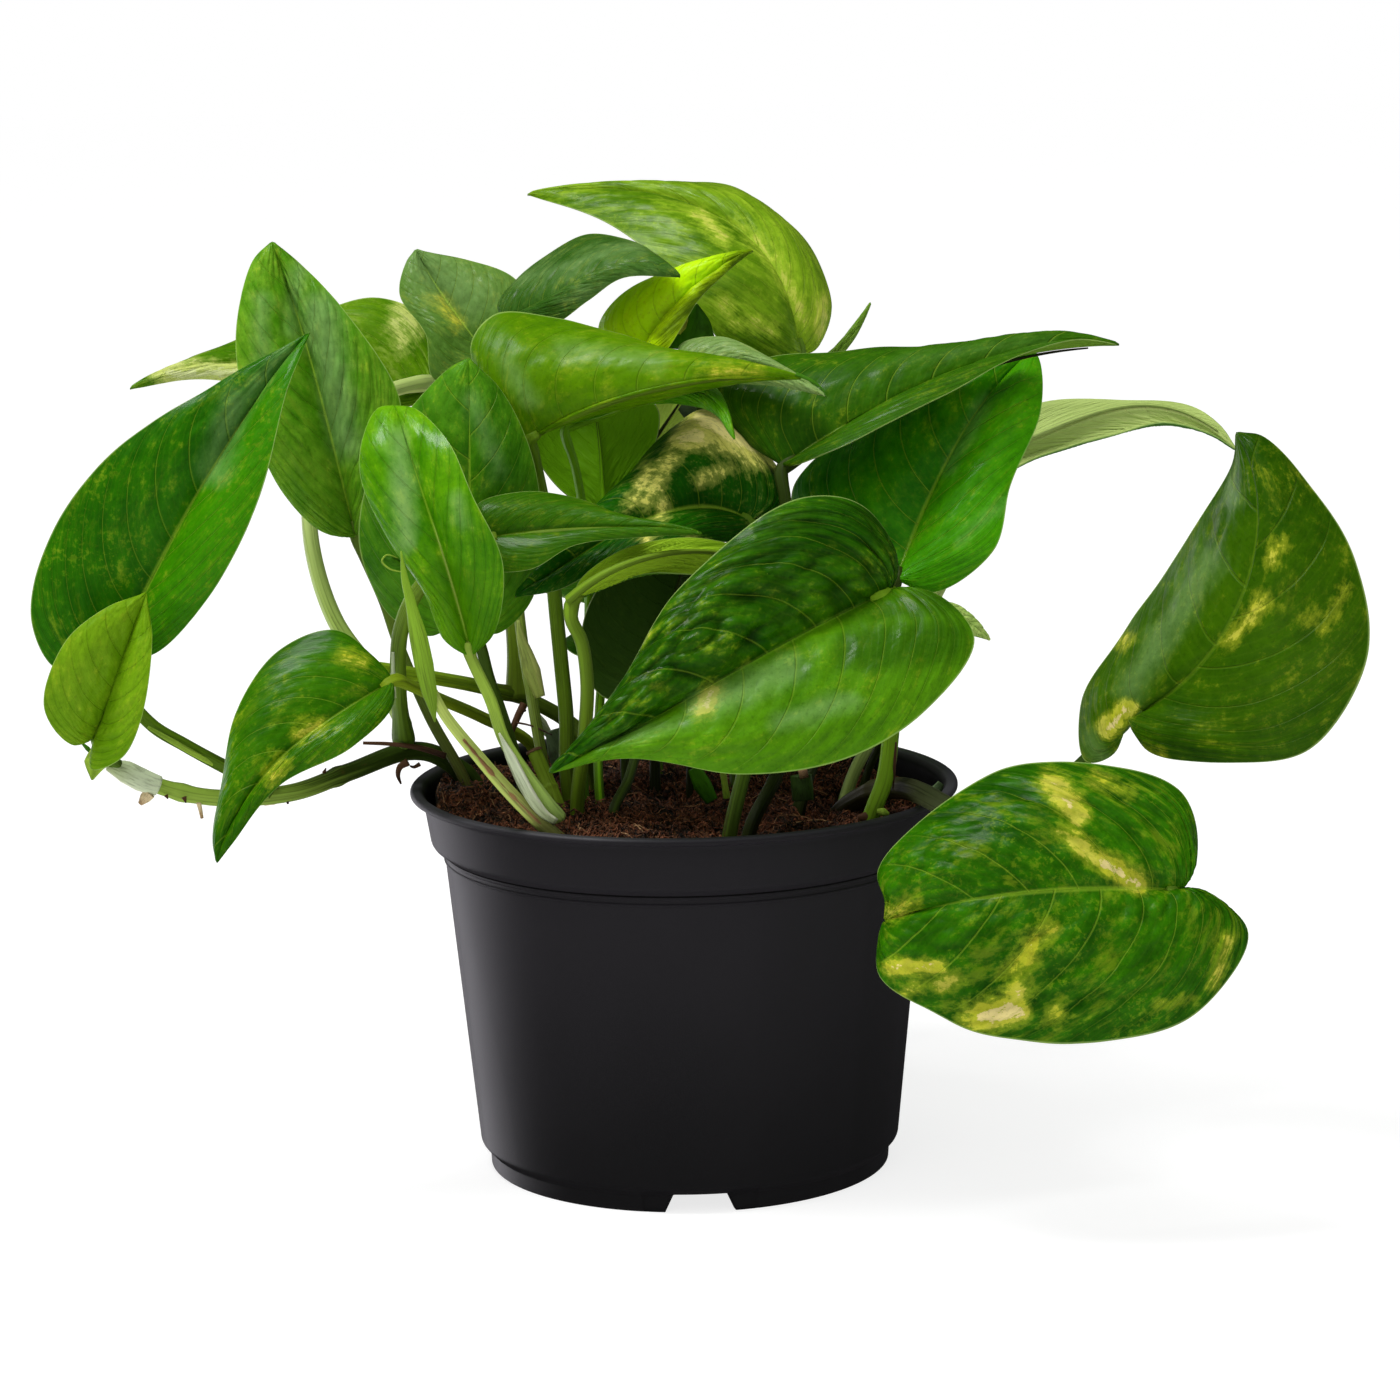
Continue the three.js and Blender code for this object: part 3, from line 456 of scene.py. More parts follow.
# %% [markdown]
# The leaf's own rule. The midrib is a cubic through four points. Each margin is a smooth curve from
# the leaf's base round its lobe to the tip. A side vein leaves the midrib nearer the base than it
# meets the margin, and the blade is woven from such lines, so veins, relief and colour follow them.

# %% The blade of a leaf
ROWS = 120
COLUMNS = 30
VEIN_SWEEP = 1.5
VEIN_LEAN = 0.48
BLADE_HALF = 0.24 * MM


def midrib(rib, t):
    """The cubic through four points a third of the length apart."""
    t = np.asarray(t, float)[..., None]
    a, b, c, d = np.asarray(rib, float)
    return (-4.5 * (t - 1 / 3) * (t - 2 / 3) * (t - 1) * a + 13.5 * t * (t - 2 / 3) * (t - 1) * b
            - 13.5 * t * (t - 1 / 3) * (t - 1) * c + 4.5 * t * (t - 1 / 3) * (t - 2 / 3) * d)


def weave(leaf):
    """The blade as a grid in millimetres: between midrib(t ** 1.5) and margin(t), bulging towards
    the upper face as the square root of sin(pi t) times sin(pi out)."""
    t = np.linspace(0, 1, ROWS + 1)
    rib = np.asarray(leaf["rib"], float)
    margins = [through([rib[0], *leaf[side], rib[3]], ROWS + 1) for side in ("left", "right")]
    start = midrib(rib, t**VEIN_SWEEP)
    at = np.minimum(t**VEIN_SWEEP, 0.999)
    forward = unit(midrib(rib, at + 1e-3) - midrib(rib, at - 1e-3))
    width = margins[1] - margins[0]
    widest = width[np.argmax(np.linalg.norm(width, axis=1))]
    up = unit(np.cross(width + 0.05 * widest, forward))
    out = np.linspace(0, 1, COLUMNS + 1)[None, :, None]
    halves = []
    for puff, margin in zip(leaf["puff"], margins):
        bulge = puff * np.sqrt(np.sin(math.pi * t).clip(0))[:, None, None] * np.sin(math.pi * out)
        halves.append(start[:, None] * (1 - out) + margin[:, None] * out + bulge * up[:, None])
    sheet = np.hstack([halves[0][:, :0:-1], halves[1]])
    return sheet, up, start


def vein_start(t, out):
    """Where the side vein through this place leaves the midrib: from there it has leaned towards
    the tip by VEIN_LEAN * out ** 1.2 of what was left."""
    leaned = VEIN_LEAN * out**1.2
    return (t - leaned) / (1 - leaned)


def relief(leaf, look, sheet):
    """How far each point stands up in millimetres, and how hollow it lies between blisters, from 0
    to 1, which the finish paints as shade. The blade is low at the midrib and along the side veins
    and puffed in small cells between them, with slow waves over it and quicker ones along its
    margin."""
    t = np.linspace(0, 1, ROWS + 1)[:, None]
    across = np.linspace(-1, 1, 2 * COLUMNS + 1)[None, :]
    out, right = np.abs(across), across > 0
    seed = look["seed"]
    phase = look["veins"] * vein_start(t, out) + 0.5 * right
    between = np.abs(np.sin(math.pi * phase)) ** 0.7
    spot = np.stack(np.broadcast_arrays(phase * 1.9, out * look["cells"], right * 9.5), axis=-1)
    pillow = 1.6 * np.abs(lumps(spot, 1.0, seed)) ** 0.8 + 0.35 * lumps(spot, 0.4, seed + 3)
    inner = np.sin(math.pi * t).clip(0)
    room = (1 - out**6) * inner**0.5 * (1 - np.exp(-((out / 0.14) ** 2)))
    puffed = (0.45 * between + pillow.clip(0, 1.3)) * room
    quilt = np.where(right, look["quilt"][1], look["quilt"][0])
    slow = look["wave"] * lumps(sheet, 24.0, seed + 1) * inner
    edge = look["ripple"] * out**5 * lumps(sheet, 11.0, seed + 2) * inner**0.5
    groove = -0.35 * np.exp(-((out / 0.05) ** 2)) * inner**0.3
    hollow = (1 - puffed / 0.9 * (room > 0)).clip(0, 1) * room * (quilt / 1.6).clip(0, 1)
    return quilt * puffed + slow + edge + groove, hollow


# %% [markdown]
# Cream and gold marks lie where the photograph shows them, and so do a greyish painted sheen, which
# stands in for reflections, and painted shade on some blades. Each is a stroke between two of its
# pixels with a half width. A corner of the blade takes the value of the nearest stroke, falling off
# outside it, and the finish breaks that edge up along the veins.

# %% Marks
STROKE_SOFTNESS = 14.0  # pixels
PAINTED_LIGHT_SOFTNESS = 26.0


def stroke_marks(strokes, points, softness):
    """0.5 on a stroke's edge, up to 1 inside and down to 0 outside."""
    pixels = in_photo(points)
    best = np.full(pixels.shape[:-1], -softness)
    for x0, y0, x1, y1, half in strokes:
        start, way = np.array([x0, y0], float), np.array([x1 - x0, y1 - y0], float)
        share = ((pixels - start) @ way / max(way @ way, 1e-9)).clip(0, 1)
        distance = np.linalg.norm(pixels - start - share[..., None] * way, axis=-1)
        best = np.maximum(best, half - distance)
    return 0.5 + 0.5 * (best / softness).clip(-1, 1)


# %% [markdown]
# A stalk has a broad foot, a groove along its upper side, and a slight knee where the blade is
# hinged. Under the blade it runs on as the midrib, which thins out to the tip.

# %% The stalk of a leaf
STALK_ROWS = 60
ROOT_PULL = 0.88  # under the soil the stems draw together towards the axis
ROOT_Z = 66.0


def rooted(points):
    """The points with one more in front, deep in the soil."""
    return [np.array([ROOT_PULL * points[0][0], ROOT_PULL * points[0][1], ROOT_Z]), *points]


def stalk_section(angle):
    """1, less a groove at angle 0 between two low ridges."""
    turn = np.abs((angle + math.pi) % (2 * math.pi) - math.pi)
    return 1 - 0.2 * np.exp(-((turn / 0.45) ** 2)) + 0.06 * np.exp(-(((turn - 0.95) / 0.3) ** 2))


def stalk_route(leaf):
    """The stalk's points from the blade down to its vine or into the soil, in millimetres."""
    points = [np.array(p, float) for p in leaf["stem"]]
    if "vine" not in leaf:
        points = rooted(points)
    points.append(midrib(leaf["rib"], 0.05))
    return through(points[::-1], STALK_ROWS)


def stalk_skin(leaf, up):
    """A tube whose radius swells at the foot and at the knee under the blade."""
    route = stalk_route(leaf)
    along = np.linspace(0, 1, STALK_ROWS)
    knee = 0.16 * np.exp(-(((along - 0.05) / 0.03) ** 2))
    foot = leaf.get("foot", 0.4) * np.exp(-(((1 - along) / 0.09) ** 2))
    fullness = 0.86 + 0.14 * along + knee + foot
    radius = leaf["stalk"] * fullness * (1 - 0.35 * np.exp(-along / 0.015))
    return tube(route, radius, stalk_section, up)


def rib_skin(leaf, up, start):
    """The midrib's round back, which stands out under the blade only."""
    stop = int(0.95 * ROWS)
    along = np.linspace(0, 1, stop)
    radius = leaf["stalk"] * 0.6 * (1 - along) ** 0.8 + 0.18
    path = start[1:stop + 1] - up[1:stop + 1] * (radius + 0.42)[:, None]
    return tube(path, radius, side=up[1], sides=10)


# %% [markdown]
# The plan of the plant, in millimetres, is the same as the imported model's. A leaf has its midrib
# from base to tip, its left and right margin as seen on the upper face with the tip up, and the
# route of its stalk, which starts in the soil or on a vine.

# %% Plan
LEAVES = {
    "leaf_01": dict(
        rib=[(-119.5, -32, 122), (-107.5, -31, 144), (-93.5, -28, 166.5), (-77, -24, 187.5)],
        left=[(-131.5, -33, 118), (-137, -32, 128.5), (-132, -31, 147), (-118.6, -30, 163.7),
        (-96.4, -27, 177.7)],
        right=[(-112, -35, 121), (-98, -40, 135), (-87.5, -40, 154.5), (-81, -32, 177.5)],
        stem=[(-88, -25, 89.6), (-97, -27, 94.9), (-106, -28, 100.4), (-113, -30, 105.6),
        (-118.5, -33, 115)],
        puff=(2, 2), stalk=1.5, vine="vine_left"),
    "leaf_02": dict(
        rib=[(-123, -42, 105.5), (-119, -44, 115.5), (-115, -44, 126), (-111.5, -41, 135.5)],
        left=[(-127.5, -46, 104.5), (-132.5, -50, 113.5), (-127.5, -50, 127), (-119.5, -46, 133)],
        right=[(-123.5, -48, 99.5), (-116.5, -50, 102.5), (-111.5, -50, 113.5), (-110, -46, 126.5)],
        stem=[(-118.5, -34, 96.5), (-120, -37, 98.5), (-121.5, -39, 100.5), (-123, -42, 105)],
        puff=(2, 1), stalk=1.4, vine="vine_left"),
    "leaf_03": dict(
        rib=[(-61, -38, 115.5), (-75, -46, 108), (-87.5, -51, 98), (-97.5, -52, 80)],
        left=[(-60.5, -42, 111), (-69, -50, 103.5), (-83.5, -53, 96.5), (-93.5, -53, 85)],
        right=[(-63, -37, 118.5), (-72.5, -36, 126), (-84.5, -37, 122), (-93.3, -43, 109.5),
        (-97.4, -50, 92), (-98.2, -52, 84)],
        stem=[(-31, 10, 85.5), (-34, 8, 92.5), (-44, 0, 100), (-51.5, -14, 106.5),
        (-57.5, -31, 113), (-60.5, -38, 115.5)],
        puff=(2, 2), stalk=1.4),
    "leaf_04": dict(
        rib=[(-71, 8, 139.5), (-75.5, 6, 161), (-80.5, 8, 181.5), (-87.6, 12, 203.8)],
        left=[(-78, 4, 141), (-86, 0, 150), (-92, 0, 164), (-95.5, 4, 181), (-92, 10, 199.4)],
        right=[(-68.5, 5, 145.5), (-62, 0, 157), (-60, 0, 170), (-71.5, 4, 189), (-81.5, 10, 199)],
        stem=[(-48, 2, 85), (-55.5, 3, 99.5), (-62.4, 6, 116), (-65.4, 8, 125), (-71, 8, 139)],
        puff=(3, 3), stalk=1.3),
    "leaf_05": dict(
        rib=[(-56, 50, 167.5), (-77.5, 48, 170), (-101, 42, 173.5), (-122.5, 34, 169.5)],
        left=[(-57.5, 46, 164), (-74, 40, 164.5), (-107, 38, 171)],
        right=[(-55, 58, 174.5), (-60, 62, 183), (-69, 62, 186.5), (-86, 58, 182),
        (-109.5, 44, 174.9)],
        stem=[(-61, 2, 94.5), (-61.8, 3, 99), (-66.5, 4, 107.5), (-76.2, 7, 121), (-82, 18, 139.5),
        (-80.5, 32, 155.5), (-70, 36, 165.5), (-62.5, 42, 168), (-56.5, 49, 168)],
        puff=(2, 2), stalk=2, foot=0, vine="vine_left"),
    "leaf_06": dict(
        rib=[(-40.5, 34, 172), (-46.5, 38, 180.5), (-53, 42, 189.5), (-58.5, 46, 198.5)],
        left=[(-46.5, 32, 168), (-54.5, 32, 171), (-56, 34, 180.5), (-62, 40, 189),
        (-60.6, 44, 196)],
        right=[(-34, 38, 174), (-32, 40, 185), (-36, 42, 192), (-47, 45, 196.4)],
        stem=[(-36.5, 12, 101.5), (-37, 16, 114.5), (-38.5, 24, 131), (-40, 31, 150.5),
        (-40.5, 34, 171)],
        puff=(2, 2), stalk=2, vine="vine_mid"),
    "leaf_07": dict(
        rib=[(-37.5, 18, 185.5), (-25, 12, 192), (-12, 10, 197), (1, 8, 195)],
        left=[(-39, 22, 188.5), (-35.5, 26, 193), (-29, 30, 197.2), (-19, 30, 202.2),
        (-7.5, 22, 201)],
        right=[(-27.5, 11, 184.6), (-19, 8, 190.2), (-11.5, 7, 195)],
        stem=[(-30.5, -4, 89), (-33, 2, 103.5), (-35, 6, 116), (-36.5, 10, 133), (-37, 12, 153),
        (-37, 15, 172.5), (-37.5, 18, 185.5)],
        puff=(2, 2), stalk=1.3),
    "leaf_08": dict(
        rib=[(27.5, 34, 175), (21.5, 38, 195), (3.5, 50, 207), (-33.5, 58, 209.5)],
        left=[(19.5, 28, 171.5), (10, 24, 178.5), (4, 26, 188), (-4, 34, 196.5),
        (-16.5, 46, 204.4)],
        right=[(31.5, 42, 176), (35, 50, 185.5), (27, 56, 200.5), (13.5, 62, 209.3),
        (-9.5, 62, 210)],
        stem=[(11.5, 8, 81), (11.5, 16, 95.5), (13, 24, 112), (15.5, 31, 133.5), (19.5, 35, 151),
        (24.5, 35, 164.5), (27.5, 34, 174)],
        puff=(4, 4), stalk=1.5),
    "leaf_09": dict(
        rib=[(-8, 14, 178), (-2, 14, 186), (6.5, 15, 193.5), (17, 18, 199.5)],
        left=[(-16, 20, 179), (-17, 22, 183.5), (-10, 22, 191), (0.5, 19, 196.5), (9.5, 18, 199)],
        right=[(-2.5, 8, 179), (1, 8, 184), (5, 10, 190), (11, 14, 195)],
        stem=[(-6.5, 14, 87), (-4, 24, 103), (0, 34, 124), (1, 40, 146), (-1.5, 40, 162),
        (-6, 27, 172.5), (-8, 15, 177.5)],
        puff=(2, 2), stalk=1.3),
    "leaf_10": dict(
        rib=[(-32.5, -8, 162), (-14, -14, 171), (6, -16, 175.5), (26.5, -14, 175)],
        left=[(-40, -4, 169), (-44.5, -2, 182), (-39, 2, 188.5), (-25, 4, 187), (-5.5, -2, 181.5),
        (13.5, -10, 178.5)],
        right=[(-25.5, -6, 164.5), (-8, -8, 169), (11.5, -11, 173.5)],
        stem=[(-25.5, -2, 87), (-25.5, 1, 99), (-26.5, 4, 111.5), (-27.5, 6, 123.5),
        (-28.5, 5, 138.5), (-30, 1, 149.5), (-31.5, -5, 159), (-32, -8, 162)],
        puff=(4, 1), stalk=1.7),
    "leaf_11": dict(
        rib=[(3, 5, 172), (12.5, 2, 177), (22, -2, 175.5), (32, -5, 170)],
        left=[(0.5, 9, 180), (9.5, 8, 182), (19.5, 2, 178), (26.5, -2, 174)],
        right=[(9.5, 2, 172.5), (22, -3, 172)],
        stem=[(1.5, 10, 86.5), (4, 22, 108), (7, 30, 129.5), (7.5, 34, 149), (5, 24, 163.5),
        (3, 7, 171)],
        puff=(1, 1), stalk=1),
    "leaf_12": dict(
        rib=[(-24.5, 2, 164), (-10.5, 2, 168.5), (4, -6, 171.5), (12, -20, 163)],
        left=[(-17, 9, 170), (-1.5, 6, 173.5), (7.5, -3, 172.5), (11, -14, 168.5)],
        right=[(-19, 1, 165), (-4, 0, 169), (7, -11, 168)],
        stem=[(-22, 0, 83), (-21.5, 12, 101), (-20.5, 14, 119), (-20.5, 12, 137), (-22.5, 7, 153.5),
        (-24.5, 2, 163.5)],
        puff=(1, 1), stalk=1.1),
    "leaf_13": dict(
        rib=[(15.5, -4, 143), (0, -8, 146.5), (-17, -19, 141), (-35, -27, 131)],
        left=[(12, -8, 139.5), (1, -18, 141.5), (-15, -24, 137.5), (-25.5, -27, 132.5)],
        right=[(24, 4, 145.5), (22, 10, 153), (11.5, 12, 163.5), (5, 12, 166), (-4, 8, 160),
        (-17, -4, 148), (-27.5, -20, 138)],
        stem=[(9.5, -40, 81), (14.5, -32, 100.5), (16.5, -20, 115.5), (16.5, -10, 131),
        (15.5, -4, 142.5)],
        puff=(2, 5), stalk=1.6),
    "leaf_14": dict(
        rib=[(22.5, 0, 154.5), (44, 2, 166.5), (68, 6, 175.5), (96.5, 10, 178.5)],
        left=[(14.5, 6, 159.5), (8, 12, 170), (18, 16, 175.5), (38.5, 16, 177.5), (64.5, 14, 179),
        (85, 12, 180.8)],
        right=[(26, -6, 155.5), (37, -8, 160.2), (56.5, -4, 168.8), (74.5, 3, 177.4),
        (87, 7, 179.8)],
        stem=[(14, -34, 81), (21, -24, 94), (22.5, -14, 114), (23.5, -8, 133), (23, -4, 147.5),
        (22.5, 0, 154)],
        puff=(3, 1), stalk=1.5),
    "leaf_15": dict(
        rib=[(46.5, -5, 130), (54.5, 4, 146), (64.5, 12, 162.5), (79, 22, 176.5)],
        left=[(39.5, 4, 129.5), (26.5, 14, 138), (25, 18, 147.5), (38.5, 20, 159.5), (56, 22, 169),
        (68, 22, 174)],
        right=[(55, -6, 127.2), (67.8, -6, 136), (71.8, 0, 149), (79, 8, 163.5), (80, 18, 173)],
        stem=[(25, -12, 81), (28.5, -6, 90.5), (36.5, 0, 104.5), (43.5, 0, 120), (46.5, -5, 129)],
        puff=(3, 3), stalk=1.5),
    "leaf_16": dict(
        rib=[(69, 40, 150.5), (87, 38, 157), (105.5, 34, 161.5), (124.5, 28, 152.5)],
        left=[(70, 36, 145.5), (82, 36, 150.5), (96, 34, 155.5), (108.5, 31, 158), (119, 29, 156)],
        right=[(73, 46, 158), (83.5, 46, 162), (100.5, 42, 162.5), (115, 36, 161.5),
        (121, 31, 157.8)],
        stem=[(37, 8, 83), (44, 15, 95), (50, 24, 109), (58, 31, 121.5), (65.5, 36, 136.5),
        (69, 40, 150)],
        puff=(2, 2), stalk=1.4),
    "leaf_17": dict(
        rib=[(97, -10, 100), (113.5, -20, 116), (122.5, -22, 139), (119.8, -10, 161.4)],
        left=[(93.5, -8, 91), (88, -4, 89), (87.5, 0, 102), (97.8, 2, 117.4), (110.6, -2, 137),
        (119.2, -6, 154)],
        right=[(100.2, -15, 93.4), (117, -26, 92.5), (133.5, -28, 95.5), (146, -26, 115),
        (144, -22, 135), (134.4, -16, 151), (125, -12, 161)],
        stem=[(67, -32, 79.5), (70.5, -22, 80.5), (77.5, -10, 81.5), (87, 2, 86.5), (92, 3, 91),
        (96, -3, 96), (97, -9, 99)],
        puff=(2, 4), stalk=1.5, vine="vine_right"),
    "leaf_18": dict(
        rib=[(101.5, -70, 75), (81.5, -76, 77), (61, -76, 75.5), (41.5, -64, 68)],
        left=[(108.6, -70, 73.4), (115.4, -72, 66), (105.2, -76, 51.2), (87.5, -78, 46),
        (60.5, -76, 46.8), (50, -73, 51.2), (40, -68, 57.5), (40, -65, 64.5)],
        right=[(105.3, -68, 82.4), (102.6, -62, 93.8), (86.5, -58, 99), (66.5, -58, 98.5),
        (49, -62, 89), (40, -64, 78.5), (41.5, -64, 72.5)],
        stem=[(67.5, -32, 80.5), (79.5, -42, 82), (93, -52, 79.5), (100.5, -63, 75.5),
        (101.5, -69, 75)],
        puff=(3, 3), stalk=1.5, vine="vine_right"),
    "leaf_19": dict(
        rib=[(43.5, -38, 132.5), (19.5, -50, 123), (-3.5, -60, 112), (-27.5, -62, 100)],
        left=[(51.5, -40, 133), (61.1, -48, 124.2), (49.7, -56, 110), (33.5, -60, 101.5),
        (12, -64, 99.5), (-12, -64, 103.5)],
        right=[(45.5, -36, 140), (38.5, -36, 150.5), (26.5, -38, 153), (12, -44, 146.5),
        (-1.5, -52, 134.5), (-15.5, -60, 114)],
        stem=[(40, -33, 83.5), (43, -31, 91), (44.5, -28, 100), (45.5, -30, 116.5),
        (44.5, -35, 128.5), (44, -38, 132)],
        puff=(3, 4), stalk=2.1),
    "leaf_20": dict(
        rib=[(-44, -40, 121), (-48.5, -44, 140), (-53.5, -42, 157), (-59, -30, 172.5)],
        left=[(-49.5, -42, 124.5), (-53, -43, 134.5), (-59.5, -42, 144), (-66, -38, 158),
        (-66, -36, 165.5), (-62.5, -30, 172)],
        right=[(-39, -44, 126), (-36.5, -48, 141.5), (-42.5, -48, 156), (-47, -42, 165.5),
        (-55, -32, 172)],
        stem=[(-26.5, -44, 86.5), (-29, -46, 91), (-37, -46, 103.5), (-40, -43, 112),
        (-44, -40, 120.5)],
        puff=(2, 2), stalk=1.4, vine="shoot_front"),
    "leaf_21": dict(
        rib=[(-46, -20, 126), (-44.5, -25, 145.5), (-44, -23, 163), (-44, -18, 181)],
        left=[(-54, -18, 121.5), (-63.5, -14, 126.5), (-68.5, -14, 140.5), (-65.5, -16, 157),
        (-55.5, -18, 171.5), (-48, -18, 179)],
        right=[(-40, -19, 121.5), (-32, -16, 128.5), (-29.5, -15, 143.5), (-31.5, -17, 161.5),
        (-37.5, -17, 174)],
        stem=[(-36, -6, 89.5), (-39.5, -10, 103.5), (-41.5, -14, 111), (-43.5, -18, 120.5),
        (-46, -20, 125.5)],
        puff=(2, 2), stalk=1.4),
    "leaf_22": dict(
        rib=[(-40.5, -31, 144.5), (-25, -33, 146.5), (-9, -35, 147), (5, -38, 145.5)],
        left=[(-42.5, -29, 151), (-33.5, -27, 153.5), (-21, -26, 152), (-7, -31, 147)],
        right=[(-40, -34, 138.5), (-31.5, -37, 138.5), (-22, -37, 143.5), (-8, -37, 145)],
        stem=[(-61, -4, 96), (-61, -16, 109.5), (-59.5, -25, 124), (-55.5, -29, 133),
        (-48.5, -31, 139.5), (-41, -31, 144)],
        puff=(2, 1), stalk=1.8, vine="vine_left"),
    "leaf_23": dict(
        rib=[(-22.5, -36, 131.5), (-8.5, -36, 139.5), (8.5, -28, 139.5), (25.5, -18, 130)],
        left=[(-19, -36, 133), (-5, -34, 137), (10.5, -27, 135)],
        right=[(-21, -33, 135.5), (-11.5, -30, 141.5), (2.5, -26, 143), (17, -20, 138)],
        stem=[(-23, -20, 82), (-21, -28, 100), (-20, -34, 114), (-21, -36, 123), (-23, -37, 128),
        (-22.5, -36, 131.5)],
        puff=(1, 2), stalk=1.6),
    "leaf_24": dict(
        rib=[(-6, 2, 109), (-3, 0, 121), (0, 4, 130), (2, 10, 139)],
        left=[(4, 4, 104.5), (13, 8, 112.5), (12, 10, 125.5)],
        right=[(-15.5, 2, 103), (-20.5, 4, 107), (-21.5, 6, 120), (-13, 8, 133)],
        stem=[(-15.5, -20, 81.5), (-12, -12, 88), (-9.5, -4, 95), (-7, 1, 103), (-6, 2, 108.5)],
        puff=(2, 2), stalk=1.2),
    "leaf_25": dict(
        rib=[(-16.5, 14, 142.5), (-17, 16, 150), (-17.5, 18, 158.5), (-19, 22, 167.5)],
        left=[(-11, 15, 146), (-5, 19, 157), (-5, 22, 165.5)],
        right=[(-23.5, 14, 145.5), (-29, 16, 151), (-32.5, 18, 158.5), (-28.5, 21, 165)],
        stem=[(-18.5, -4, 83), (-18.5, 6, 98), (-17, 14, 114.5), (-16, 16, 132), (-16.5, 14, 142)],
        puff=(2, 2), stalk=1.1),
    "leaf_26": dict(
        rib=[(-14, 27, 143), (-9, 27, 151), (-3.5, 29, 159), (2.5, 31, 167.5)],
        left=[(-5.5, 25, 148), (3, 28, 159)],
        right=[(-14, 31, 151), (-8.5, 33, 162)],
        stem=[(-13, 8, 86), (-12.5, 22, 110.5), (-13, 26, 130.5), (-14, 27, 143)],
        puff=(1, 1), stalk=1.1),
    "leaf_27": dict(
        rib=[(53.5, -14, 124.5), (58, -14, 123), (62.5, -13, 120.5), (66.5, -12, 117.5)],
        left=[(58, -12, 125.5), (63, -12, 122.5)],
        right=[(56.5, -16, 120.5), (62, -14, 119)],
        stem=[(40.5, 6, 84.5), (45.5, -4, 98.5), (50.5, -12, 115.5), (53.5, -14, 124.5)],
        puff=(1, 1), stalk=0.9),
    "leaf_28": dict(
        rib=[(25, 62, 161.5), (31, 64, 167), (38.6, 66, 173.6), (44.6, 68, 182.8)],
        left=[(30, 64, 167.8), (38, 67, 174.6)],
        right=[(32, 64, 165.8), (39.9, 67, 173.3)],
        stem=[(11.5, 30, 81), (11.5, 46, 108), (13, 54, 128), (18, 60, 148), (25, 62, 161)],
        puff=(1, 1), stalk=1.1),
    "leaf_29": dict(
        rib=[(28, 50, 118), (32, 68, 126), (38, 88, 128), (44, 108, 120)],
        left=[(20, 50, 121), (11, 60, 126), (14, 80, 130), (28, 98, 126)],
        right=[(37, 46, 118), (50, 54, 122), (54, 74, 126), (50, 94, 124)],
        stem=[(21, 20, 84), (23, 32, 98), (27, 45, 113)],
        puff=(2, 2), stalk=1.4),
    "leaf_30": dict(
        rib=[(-12, 48, 116), (-18, 64, 123), (-26, 82, 124), (-34, 98, 117)],
        left=[(-20, 44, 117), (-34, 52, 120), (-38, 70, 122), (-38, 86, 120)],
        right=[(-4, 48, 119), (2, 60, 124), (-4, 78, 126), (-20, 92, 122)],
        stem=[(-6, 26, 84), (-8, 34, 98), (-11, 45, 113)],
        puff=(2, 2), stalk=1.3),
    "leaf_31": dict(
        rib=[(30, 88, 66), (37, 93, 52), (43, 96, 36), (47, 94, 20)],
        left=[(36, 84, 70), (49, 84, 64), (54, 88, 48), (52, 92, 32)],
        right=[(23, 90, 68), (17, 92, 56), (22, 96, 38), (36, 97, 26)],
        stem=[(15.5, 79, 70), (22, 84, 72), (28.5, 87.5, 67.5)],
        puff=(2, 2), stalk=1.2, vine="vine_back"),
    "leaf_32": dict(
        rib=[(4, 92, 54), (-3, 97, 40), (-10, 99, 25), (-14, 96, 10)],
        left=[(10, 92, 57), (16, 94, 46), (11, 98, 30), (0, 99, 17)],
        right=[(-3, 90, 58), (-16, 88, 52), (-22, 91, 36), (-20, 94, 21)],
        stem=[(12, 83, 46), (9, 87, 52), (5, 91, 54.5)],
        puff=(2, 2), stalk=1.1, vine="vine_back"),
    "leaf_33": dict(
        rib=[(34, 58, 104), (39, 72, 109), (44, 88, 108), (48, 103, 100)],
        left=[(27, 60, 106), (21, 70, 108), (25, 86, 108), (38, 98, 105)],
        right=[(41, 54, 105), (53, 60, 107), (58, 76, 107), (54, 92, 104)],
        stem=[(28, 24, 82), (30, 38, 92), (33, 54, 102)],
        puff=(2, 2), stalk=1.3),
    "leaf_34": dict(
        rib=[(-8, 58, 100), (-9, 74, 105), (-9, 90, 104), (-8, 106, 96)],
        left=[(-15, 56, 101), (-26, 62, 103), (-26, 80, 104), (-17, 98, 101)],
        right=[(-1, 57, 101), (9, 64, 104), (8, 82, 105), (1, 98, 101)],
        stem=[(-12, 36, 84), (-11, 44, 91), (-9, 55, 99)],
        puff=(2, 2), stalk=1.2),
}

